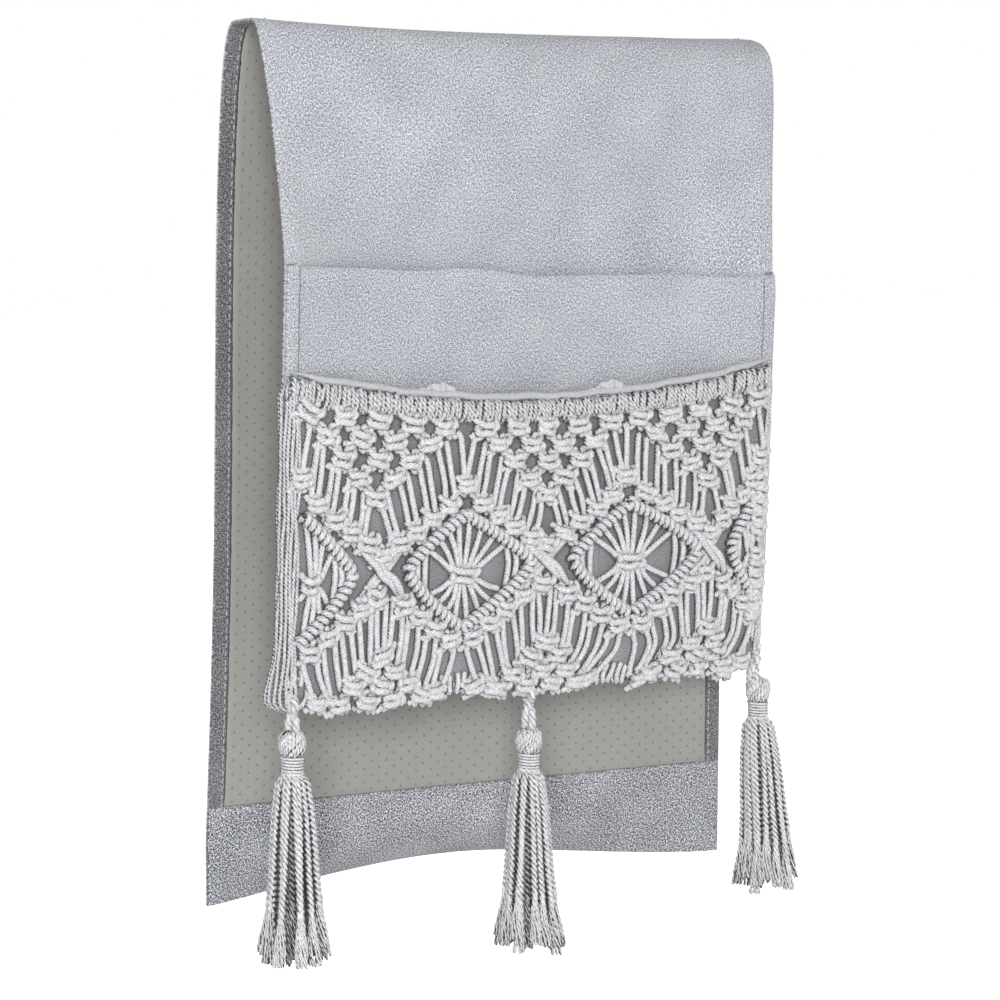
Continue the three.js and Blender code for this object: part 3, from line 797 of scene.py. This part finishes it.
def make_net_lining():
    x, drop = pocket_grid(net_rim, NET_LINING_FOOT, HALF - 0.6, 0.018)
    wave = 1 + 0.35 * np.sin(x / 13 + drop / 21)
    slack = 0.4 * net_give(x, drop) * smoothstep(drop - net_rim(x), 0, 22) * wave
    lining = sheet_piece("net_backing", FRONT, x, drop, NET_LINING_STAND - slack, POCKET_CLOTH, POCKET_LINING)
    settle(lining, "lining", "front_flap", "net_pocket_lining")


def make_gathers():
    """The tops of the dividers, crumpled into the rim behind its roll."""
    for word, at in DIVIDERS.items():
        off, up = np.meshgrid(np.linspace(-1, 1, 60), np.linspace(0, 1, 14))
        x = at + GATHER_REACH * off
        crest = 4.6 + 3.4 * (1 - off**2) + 0.8 * np.sin(4.2 * off + 1) + 0.35 * np.sin(11 * off)
        drop = lerp(net_rim(x) + 4.0, net_rim(x) - crest, up)
        fold = np.sin(9 * off + 2.6 * up) + 0.6 * np.sin(17 * off - 2 * up)
        gather = sheet_piece(f"{word}_gather", FRONT, x, drop, NET_LINING_STAND + 1.6 + fold * up, 0.9, ROLL)
        settle(gather, "lining", "front_flap", f"{word}_divider")


def make_tacks():
    """Side seams of the upper pocket, in near-black thread that paints the shade of their creases, and the
    tacks at the ends of its rim.
    """
    tacks = Bundle()
    seams = Bundle()
    face = PANEL_STAND + POCKET_CLOTH / 2
    for hand in (-1, 1):
        x = hand * (SIDE_SEAM + 0.4)
        start = float(upper_rim(x))
        drop = np.linspace(start + 1, NET_RIM + 4, 40)
        # Near-black seam thread: stitching with painted shade in the crease.
        seams.add(place(FRONT, x + 0.2 * np.sin(drop / 2.3), drop, face + 0.1), 0.42, strands=3)
        for i in range(4):
            across = x + hand * (6.4 - 1.3 * i)
            rows = start + np.array([-1.2, -0.7, 0.6, 1.8, 2.3]) + chance.normal(0, 0.3)
            stand = face + 1.0 + np.array([-2.4, 0.0, 0.3, 0.1, -0.6])
            tacks.add(place(FRONT, across + chance.normal(0, 0.2, 5), rows, stand), 0.45, lay=5, strands=3)
    settle(tacks.mesh("upper_tacks", PALE_THREAD), "cloth", "front_flap")
    settle(seams.mesh("upper_side_seams", SHADED_SEAM_THREAD), "cloth", "front_flap")


def make_piping():
    """The lining's rim rolled over its cord along the top of the net, and drawn thin at both ends."""
    roll = Bundle()
    reach = HALF - 4
    x = np.linspace(-reach, reach, 150)
    wave = 0.35 * np.sin(x / 8) + 0.25 * np.sin(x / 3.7 + 1)
    drop = net_rim(x) - PIPING / 2 - 0.2 + wave
    slim = lerp(0.25, 1.0, smoothstep(reach - np.abs(x), 0, 18))
    roll.add(place(FRONT, x, drop, NET_STAND - 1.4), PIPING / 2 * slim, groove=0.0)
    settle(roll.mesh("rim_roll", ROLL), "lining", "front_flap", "rim_piping")


def make_dividers():
    """Cloth walls between the compartments, narrower towards their feet."""
    for word, at in DIVIDERS.items():
        stand = np.concatenate([[-NET_DEPTH + 4.2], np.linspace(-NET_DEPTH + 4.6, NET_LINING_STAND - 1, 9)])
        share = np.linspace(0, 1, 50)
        deep, down = np.meshgrid(stand, share)
        drop = lerp(net_rim(at) - 3.0 + 1.2 * np.sin(deep * 1.3), POCKET_FOOT - DIVIDER_FOOT, down)
        wave = 1.6 * np.sin(deep * 0.9 + at) * (1 - smoothstep(down, 0, 0.25))
        scale = 1 - smoothstep(down, 0.55, 1.0) * 0.75
        level = lerp(NET_LINING_STAND - 1, deep, scale)
        walls = [place(FRONT, at + wave + side * 0.6, drop, level).reshape(-1, 3) for side in (-1, 1)]
        faces = sheet_faces(deep.shape, True)
        uv = np.tile(np.stack([deep.ravel(), drop.ravel()], axis=-1), (2, 1))
        wall = make_mesh(f"{word}_wall", np.concatenate(walls), faces, POCKET_LINING, uv)
        settle(wall, "lining", "front_flap", f"{word}_divider")


# Net

LEFT_WORKER = (
    (-6.6, -5.6, 0.0), (-5.6, -4.2, 1.2), (-4.0, -2.6, 2.9), (-1.4, -2.1, 3.8), (1.6, -2.3, 3.8),
    (4.0, -2.5, 2.6), (5.2, -1.1, 1.3), (5.2, 0.7, 1.2), (4.0, 2.1, 2.7), (1.4, 2.5, 3.8),
    (-1.6, 2.2, 3.8), (-4.0, 2.7, 2.4), (-5.6, 4.1, 1.2), (-7.4, 5.8, 0.0),
)
RIGHT_WORKER = (
    (6.6, -5.6, 0.0), (6.0, -4.3, 1.8), (5.7, -2.6, 3.3), (4.6, -1.0, 2.0), (2.4, -0.4, -0.6),
    (-2.4, -0.2, -0.6), (-4.8, -0.7, 0.9), (-5.7, 0.6, 2.7), (-5.2, 2.0, 3.0), (-3.2, 2.8, 0.4),
    (2.4, 3.0, -0.6), (5.2, 4.0, 0.9), (7.4, 5.8, 0.0),
)
LEFT_CORE = (
    (-3.6, -6.4, 0.2), (-2.1, -4.6, 0.9), (-1.9, -2.0, 1.0), (-1.9, 2.0, 1.0), (-2.1, 4.4, 0.9),
    (-3.8, 6.4, 0.2),
)


def net_cord(bundle, points, radius, jitter=0.25, **settings):
    """A cord on the net through u, v, w points, a little out of true, and fuller where it stands proud."""
    loose = np.asarray(points, float)
    loose = loose + chance.normal(0, jitter, loose.shape) * (1.0, 1.0, 0.6)
    path = smooth_path(loose, 0.9)
    fuller = 1 + SWELL * smoothstep(path[:, 2], 1.6, 3.4)
    # Its sides, turned from the net's face, get painted shade.
    bundle.add(net_place(path), radius * fuller, outward=NET_FACE, shaded=NET_SHADED, **settings)


def square_knot(bundle, u, v, wide=1.0, tall=1.0, cores=True, radius=KNOT_CORD):
    """Two working cords tied twice round two core cords, some of them begun from the other side."""
    wide = wide * chance.uniform(0.94, 1.08) * (-1 if chance.random() < 0.35 else 1)
    tall = tall * chance.uniform(0.95, 1.1)
    tilt = chance.normal(0.08, 0.13)
    u, v = u + chance.normal(0, 0.45), v + chance.normal(0, 0.4)
    routes = [LEFT_WORKER, RIGHT_WORKER]
    if cores:
        routes += [LEFT_CORE, [(-a, b, c) for a, b, c in LEFT_CORE]]
    for route in routes:
        points = [(u + wide * a - tilt * b, v + tall * b + tilt * a, c) for a, b, c in route]
        net_cord(bundle, points, radius, jitter=0.36)


def tie_header(header):
    for u in np.arange(-HALF + 1.5, HALF - 5, HITCH_STEP):
        lean = chance.normal(0.6, 0.35)
        head = chance.uniform(-0.7, 1.1)
        foot = HEADER + chance.uniform(-1.2, 1.4)
        proud = chance.normal(0, 0.45)
        route = ((u + lean, head, -0.8), (u + lean, head + 0.9, 1.5 + proud), (u, 4, 2.4 + proud),
                 (u, 8, 2.3 + proud), (u - lean, foot - 0.6, 1.2), (u - lean, foot + 1.2, -0.6))
        net_cord(header, route, chance.uniform(*HITCH_CORD), groove=0.3, mark=0.55, strands=3)


def tie_upper_knots(knots):
    for centre, shift in zip(CENTRES, TRIANGLE_SHIFT):
        for row in range(KNOT_ROWS):
            count = KNOT_ROWS - row
            for i in range(count):
                u = centre + shift + KNOT_STEP * (i - (count - 1) / 2)
                square_knot(knots, u, FIRST_ROW + ROW_STEP * row)


def zigzag_row(shape, off):
    """Row of a zigzag's knots, off from a border towards a period's centre."""
    row, rise, power = shape
    return row + rise * (off / (PERIOD / 2)) ** power


def hung_strand(bundle, u, head, foot, out, bulge, lead, tail):
    """A loose cord between two rows of knots, tucked behind them at both ends."""
    middle = (u + out * bulge, lerp(head, foot, 0.5), 0.9)
    route = ((u - lead, head - 4, -0.8), (u, head, 0.4), middle, (u + out, foot, 0.4),
             (u + out, foot + tail, -0.8))
    net_cord(bundle, route, STRAND, jitter=0.4)


def tie_strands(strands):
    half = PERIOD / 2
    for centre, shift in zip(CENTRES, TRIANGLE_SHIFT):
        for hand in (-1, 1):
            for i in range(STRANDS):
                if centre > HALF / 2 and hand > 0 and i % 3 == 1:
                    continue
                at = FIRST_STRAND + STRAND_STEP * i + STRAND_PAIR * (-1) ** i
                share = at / half
                u = centre + hand * at
                slip = shift * (1 - share)
                foot = zigzag_row(UPPER_ZIGZAG, half - at) - 4
                out = hand * lerp(*UPPER_SPREAD, share) - 0.3 * slip
                head = lerp(*UPPER_HEADS, share)
                hung_strand(strands, u + slip, head, foot, out, 0.5, hand * 1.5, 4)
                head = zigzag_row(LOWER_ZIGZAG, half - at) + 4
                foot = lerp(*LOWER_FEET, share)
                out = -hand * lerp(*LOWER_SPREAD, share)
                hung_strand(strands, u, head, foot, out, 0.4, 0.0, 3)


def tie_zigzags(zigzags):
    step = PERIOD / 10
    for border in BORDERS:
        for hand in (-1, 1):
            for i in range(6):
                u = min(border + hand * step * i, RIGHT_KNOT)
                if abs(u) < HALF - 4 and (i or hand > 0) and (i < 5 or hand > 0):
                    square_knot(zigzags, u, zigzag_row(UPPER_ZIGZAG, step * i), wide=0.9, tall=0.95)
                u = min(border + hand * step * (i + 0.7), RIGHT_KNOT)
                if abs(u) < HALF - 4 and i < 5 and (i < 4 or hand > 0):
                    square_knot(zigzags, u, zigzag_row(LOWER_ZIGZAG, step * (i + 0.7)), wide=0.9, tall=0.9)


def hitched_bar(bundle, route):
    """Half hitches wound close along a core cord."""
    core = smooth_path(route, BAR_PITCH / 11)
    world = net_place(core)
    normals, binormals = frames(world)
    turn = (2 * math.pi * lengths_along(world) / BAR_PITCH + chance.uniform(0, 6))[:, None]
    wound = world + BAR_RADIUS * (normals * np.cos(turn) + binormals * np.sin(turn))
    bundle.add(wound, BAR_CORD, lay=2.8, outward=NET_FACE, shaded=NET_SHADED)
    # The core is painted dark all over: painted shade between the hitches.
    bundle.add(world[::4], BAR_RADIUS, groove=0.0, deep=0.8)


def diamond_rays(bundle, border, middle, reach, hand):
    """Cords that fan out from the knot in a diamond's middle to its upper and lower sides."""
    for side, step in ((-1, 0.17), (1, 0.15)):
        for i in range(RAYS):
            share = 0.1 + step * i
            far = border + hand * reach * share
            edge = DIAMOND_ROW + side * (DIAMOND_RISE * (1 - share) - 1.0)
            near = middle + hand * (1.0 + 1.9 * i)
            start = SPIDER_ROW + side * (3.4 - 0.5 * i)
            level = 0.3 + 0.7 * (i % 2)
            route = ((middle + hand * 0.8 * i, SPIDER_ROW, 0.0), (near, start, level),
                     (lerp(near, far, 0.5), lerp(start, edge, 0.55), level + 0.4), (far, edge, 0.2))
            net_cord(bundle, route, STRAND * 0.95, jitter=0.3, lay=3.2)


def tie_diamonds(diamonds):
    outline = ((0, -1.0), (0.36, -0.72), (0.72, -0.38), (0.94, -0.13), (1.0, 0.0), (0.94, 0.14), (0.72, 0.40),
               (0.36, 0.73), (0, 1.0))
    for border in BORDERS:
        hands = [hand for hand in (-1, 1) if abs(border + hand * 10) < BORDERS[-1]]
        whole = len(hands) == 2
        middle = border if whole else border + hands[0] * 5.5
        for hand in hands:
            reach = (DIAMOND_LEFT if hand < 0 else DIAMOND_RIGHT) if whole else HALF_DIAMOND
            side = [(border + hand * reach * a, DIAMOND_ROW + DIAMOND_RISE * b, 1.8) for a, b in outline]
            hitched_bar(diamonds, side)
            diamond_rays(diamonds, border, middle, reach, hand)
            for share in (0.66, 0.79):
                u = border + hand * reach * share
                rise = DIAMOND_RISE * (1 - share) + 2.5
                route = ((u, DIAMOND_ROW - rise, -0.5), (u + hand * 0.8, DIAMOND_ROW, 0.7),
                         (u, DIAMOND_ROW + rise, -0.5))
                net_cord(diamonds, route, STRAND)
        square_knot(diamonds, middle, SPIDER_ROW, wide=1.3 if whole else 0.75, tall=1.1, cores=False)


def tie_crossings(crossings):
    """Pairs of cords that cross between two diamonds, each pair loosely twisted."""
    across, down = CROSSING
    for centre in CENTRES:
        for lean, level in ((1, 3.0), (-1, 0.2)):
            for beside in (-1.7, 1.7):
                route = []
                for share in np.linspace(-1, 1, 7):
                    side = beside * math.cos(1.5 * share)
                    height = level * (1 - share**4) + 0.9 * math.sin(1.5 * share) * math.copysign(1, beside)
                    u = centre + lean * across * share + side * 0.75
                    route.append((u, DIAMOND_ROW + down * share - side * 0.65 * lean, height))
                net_cord(crossings, route, STRAND, jitter=0.35)


def net_foot(u):
    low = FOOT_SAG * smoothstep(u, 10, 80) * (1 - smoothstep(u, 128, 150))
    return NET_HEIGHT + LOBE * np.cos(2 * math.pi * u / PERIOD) + low


def in_eye(u):
    return any(abs(u - tassel["bar"][0]) < EYE_HALF + STRAND for tassel in TASSELS.values())


def off_border(u):
    return min(abs(u - border) for border in BORDERS)


def tie_foot(foot):
    for centre in CENTRES:
        for row in range(FOOT_ROWS):
            for i in range(row + 1):
                u = centre + FOOT_KNOT_GAP * (i - row / 2)
                square_knot(foot, u, FOOT_TOP + FOOT_STEP * row, wide=0.95, tall=0.78)
    for u in np.arange(-HALF + 9, HALF - 6, FOOT_KNOT_STEP):
        if not in_eye(u) and 7 < off_border(u) < 24:
            square_knot(foot, u, float(net_foot(u)) - 4.0, wide=0.85, tall=0.66)
    for u in np.arange(-HALF + 3, HALF - 2, FOOT_CORD_STEP):
        end = net_foot(u)
        if not in_eye(u) and off_border(u) > 10:
            continue
        if in_eye(u):
            end = end - EYE_TOP - BAR_RADIUS - 2
        turned = ((11, -0.9), (5, -0.2), (2, -0.2), (0.8, -0.8), (2, -1.8), (5, -1.9))
        route = [(u, end - up, level) for up, level in turned]
        net_cord(foot, route, FOOT_CORD, jitter=0.5)
    for tassel in TASSELS.values():
        u, row = tassel["bar"][0], tassel["row"]
        inward = 0.35 if abs(u) > 100 else 1.0
        low, high = (-1.0, inward) if u > 0 else (-inward, 1.0)
        arch = ((9, 9, -0.3), (8.2, 4, 0), (5, 0.5, 0))
        route = [(u + low * off, row - up, level) for off, up, level in arch] + [(u, row, 0)]
        route += [(u + high * off, row - up, level) for off, up, level in arch[::-1]]
        net_cord(foot, route, EYE_CORD, jitter=0.0)


def tie_side_cords(sides):
    """Fine cords down both edges of the net, laid round the flap's edge and spread at the foot."""
    spots = ((7.2, 0.0), (5.2, 0.7), (3.0, 1.1), (0.9, 0.5), (-0.8, -0.9), (-1.7, -2.9), (-1.5, -4.9))
    for hand, tucked, spread, first in ((-1, 0.0, 5.0, 0), (1, 4.0, 1.0, 2)):
        for i, (inset, level) in enumerate(spots[first:]):
            u = hand * (HALF - inset - tucked)
            flare = hand * lerp(-1.5, spread, i / (len(spots) - 1))
            top = 0.6 * i
            route = [(u - hand * 2.5, 1.0 + top, level - 1.6), (u - hand * 0.8, 4.0 + top, level - 0.4)]
            route += [(u + hand * 0.4 * math.sin(v / 9 + i), v, level) for v in np.arange(12, 150, 12.0)]
            route += [(u + flare * 0.6, 154, level), (u + flare, 162, level),
                      (u + flare * 0.6, 168, level - 0.5), (lerp(u, hand * 152, 0.6), 171.5, level - 1.4)]
            net_cord(sides, route, SIDE_CORD, jitter=0.3, lay=2.6, groove=0.3, mark=0.5, strands=3)


NET_PARTS = {
    "header": tie_header,
    "triangles": tie_upper_knots,
    "strands": tie_strands,
    "zigzags": tie_zigzags,
    "diamonds": tie_diamonds,
    "crossings": tie_crossings,
    "foot": tie_foot,
    "sides": tie_side_cords,
}


# Tassels


def round_path(at, route, step=1.15):
    return smooth_path(np.asarray(route, float) + np.asarray(at, float), step)


def make_loop(word, tassel):
    """A cord over the net's lowest bar, its two legs twisted half round each other on the way to the head."""
    length = tassel["bar"][2] - tassel["head"][2] - HEAD_RADIUS + 4.0
    over = []
    for share in np.linspace(0, 1, 9):
        turn = math.pi * share
        over.append((LOOP_LEG * (share - 0.5), -LOOP_RADIUS * math.cos(turn), LOOP_RADIUS * math.sin(turn)))
    legs = []
    for hand in (-1, 1):
        shares = (0.3, 0.5, 0.7, 0.85, 1.0, 1.15)
        legs.append([polar(hand * LOOP_LEG, math.pi * (1.5 - share), -length * share) for share in shares])
    path = round_path(tassel["bar"], legs[0][::-1] + over + legs[1], 0.8)
    loop = Bundle()
    loop.add(path, LOOP_CORD, groove=0.3, mark=0.6, strands=3)
    loop.piece(f"{word}_hanger", TASSEL_CORD, f"{word}_loop", f"{word}_tassel_loop")


def make_head(word, tassel):
    """The cords' folded tops, drawn slanting over a ball above the neck."""
    head = Bundle()
    for i in range(BALL_CORDS):
        turn = 2 * math.pi * i / BALL_CORDS + chance.normal(0, 0.1)
        swell = chance.uniform(0.92, 1.06)
        route = [polar(swell * radius, turn + BALL_LEAN * z, z) for radius, z in BALL_PROFILE]
        # Each cord's side turned from the ball's outside gets painted shade.
        head.add(round_path(tassel["head"], route), BALL_CORD, lay=2.6, groove=0.34, mark=0.6, strands=3,
                 outward=polar(1, turn))
    core = [(0, 0, z) for z in (4.2, 2, 0, -3, -6, -9)]
    # The ball's core is painted dark all over: painted shade between its cords.
    head.add(round_path(tassel["head"], core), BALL_CORE, groove=0.0, strands=6, deep=0.8)
    head.piece(f"{word}_ball", TASSEL_CORD, f"{word}_tassel", f"{word}_tassel_head")


def make_wrap(word, tassel):
    """One fine cord wound round the neck."""
    wrap = Bundle()
    steps = WRAP_TURNS * 20
    route = []
    for i in range(steps + 1):
        turn = 2 * math.pi * i / 20
        z = -lerp(WRAP_TOP, WRAP_FOOT, i / steps)
        radius = WRAP_RADIUS + 0.5 * (1 - smoothstep(i, 0, 30))
        route.append(polar(radius, turn, z))
    path = round_path(tassel["head"], route)
    # The crevices between the turns get painted shade, from the cord's facing.
    outward = unit((path - np.array(tassel["head"])) * (1, 1, 0))
    wrap.add(path, WRAP_CORD, lay=2.8, groove=0.1, mark=0.15, strands=4, outward=outward,
             shaded=(0.25, 0.95))
    wrap.piece(f"{word}_binding", TASSEL_CORD, f"{word}_tassel", f"{word}_tassel_neck_wrap")


def skirt_radius(share):
    shares, radii = zip(*SKIRT_PROFILE)
    return float(np.interp(share, shares, radii))


def frayed_end(bundle, tassel, foot, turn, depth, plies):
    """The plies of one skirt cord, untwisted below its foot."""
    outward = np.array(polar(1, turn))
    end = chance.uniform(0.88, 1.06) * FRAY
    for ply in range(plies):
        spread = 2 * math.pi * ply / plies
        wave = chance.uniform(0, 6)
        sway = chance.uniform(0.2, 0.6)
        strand = []
        for share in np.linspace(-0.15, 1, 9):
            opened = max(share, 0)
            wide = lerp(*FRAY_WIDE, math.sin(opened * 1.7))
            wander = sway * math.sin(wave + 8 * share) * opened
            x, y, z = polar(wide, spread + 2 * share, -end * share)
            strand.append(foot + outward * FRAY_OUT * depth * opened**1.5 + (x + wander, y - wander, z))
        path = round_path(tassel["head"], strand, 1.6)
        # Plies of the inner rings are painted darker, and each ply's side turned inward gets painted shade.
        bundle.add(path, np.linspace(*FRAY_CORD, len(path)), lay=7, groove=0.36, mark=0.6, strands=3,
                   deep=0.4 * (depth < 0.9), outward=outward)


def make_skirt(word, tassel):
    """Twisted cords that hang from the neck and fray at their feet."""
    skirt = Bundle()
    fray = Bundle()
    for ring, (count, depth, plies) in enumerate(SKIRT_RINGS):
        for i in range(count):
            turn = 2 * math.pi * (i + 0.5 * ring) / count + chance.normal(0, 0.06)
            length = SKIRT_LENGTH - FRAY + chance.uniform(-6, 3)
            drift = chance.normal(0, 0.12)
            bulge = chance.uniform(0.93, 1.05)
            route = []
            for share in (-0.1, 0.0, 0.06, 0.18, 0.3, 0.45, 0.6, 0.75, 1.0):
                down = share * length
                radius = bulge * depth * skirt_radius(down / SKIRT_LENGTH)
                x, y, z = polar(radius, turn + drift * share, -SKIRT_TOP - down)
                route.append((x + tassel["lean"] * max(down, 0) / SKIRT_LENGTH, y, z))
            path = round_path(tassel["head"], route, 0.95)
            # Cords of the inner rings are painted darker, and each cord's side turned inward gets painted
            # shade.
            skirt.add(path, np.linspace(*SKIRT_CORD, len(path)), lay=2.6, groove=0.36, mark=0.7, strands=3,
                      deep=0.5 * (depth < 0.9), outward=polar(1, turn))
            frayed_end(fray, tassel, np.array(route[-1]), turn + drift, depth, plies)
    skirt.piece(f"{word}_fringe", TASSEL_CORD, f"{word}_tassel", f"{word}_tassel_skirt")
    fray.piece(f"{word}_fray", TASSEL_CORD, f"{word}_tassel", f"{word}_tassel_skirt")


# Stage


def make_camera():
    data = bpy.data.cameras.new("camera")
    data.lens = CAMERA_LENS
    data.sensor_width = CAMERA_SENSOR
    camera = add_object("camera", data)
    camera.location = CAMERA_SPOT
    camera.rotation_euler = (math.radians(90 - CAMERA_DOWN), 0, math.radians(CAMERA_TURN))
    bpy.context.scene.camera = camera


def make_lamp(name, spot, size, power):
    """A round lamp that looks at the caddy's middle."""
    data = bpy.data.lights.new(name, "AREA")
    data.shape = "DISK"
    data.size = size
    data.energy = power
    lamp = add_object(name, data)
    lamp.location = spot
    aim = np.asarray(LAMP_TARGET, float) - np.asarray(spot, float)
    yaw = math.atan2(aim[1], aim[0])
    pitch = math.atan2(aim[2], math.hypot(aim[0], aim[1]))
    lamp.rotation_euler = (math.pi / 2 + pitch, 0, yaw - math.pi / 2)


def seen_directly(tree):
    """1 for rays that show the background itself, 0 for rays that light the object."""
    path = tree.nodes.new("ShaderNodeLightPath")
    seen = path.outputs["Is Camera Ray"]
    for name in ("Is Glossy Ray", "Is Transmission Ray"):
        either = add_node(tree, "ShaderNodeMath", {0: seen, 1: path.outputs[name]}, operation="MAXIMUM")
        seen = either.outputs[0]
    return seen


def make_world():
    world = bpy.data.worlds.new("studio")
    world.use_nodes = True
    tree = world.node_tree
    light = tree.nodes["Background"]
    light.inputs["Color"].default_value = (1, 1, 1, 1)
    light.inputs["Strength"].default_value = WORLD_LEVEL
    white = add_node(tree, "ShaderNodeBackground", Color=(1, 1, 1, 1), Strength=1.0)
    links = {0: seen_directly(tree), 1: light.outputs[0], 2: white.outputs[0]}
    mix = add_node(tree, "ShaderNodeMixShader", links)
    tree.links.new(mix.outputs[0], tree.nodes["World Output"].inputs["Surface"])
    bpy.context.scene.world = world


def make_floor():
    """A pale floor under the hanging caddy, which keeps its shadow."""
    bpy.ops.mesh.primitive_plane_add(size=FLOOR_SIZE, location=(0, 0, FLOOR_LEVEL))
    floor = bpy.context.object
    floor.name = "floor"
    recipe = Recipe("pale_floor", 0.9)
    recipe.shader.inputs["Base Color"].default_value = FLOOR_COLOUR
    tree = recipe.tree
    glow = recipe.node("ShaderNodeEmission", {"Strength": seen_directly(tree)}, Color=FLOOR_GLOW)
    both = recipe.node("ShaderNodeAddShader", {0: recipe.shader.outputs[0], 1: glow.outputs[0]})
    tree.links.new(both.outputs[0], tree.nodes["Material Output"].inputs["Surface"])
    floor.data.materials.append(recipe.material)


make_camera()
make_strip(FRONT, "front", FRONT_DROP, FRONT_DROP)
make_strip(REAR, "rear", REAR_DROP, REAR_DROP - TAIL_BAND - 0.3)
make_tail_band()
make_seams()
make_upper_pocket()
make_tacks()
make_net_lining()
make_piping()
make_dividers()
make_gathers()
for part, tie in NET_PARTS.items():
    cords = Bundle()
    tie(cords)
    cords.piece(f"net_{part}", CORD, "front_flap", "knotted_net")
for word, tassel in TASSELS.items():
    make_loop(word, tassel)
    make_head(word, tassel)
    make_wrap(word, tassel)
    make_skirt(word, tassel)

make_world()
for lamp in LAMPS:
    make_lamp(*lamp)
make_floor()
bpy.context.scene.view_settings.view_transform = "Standard"
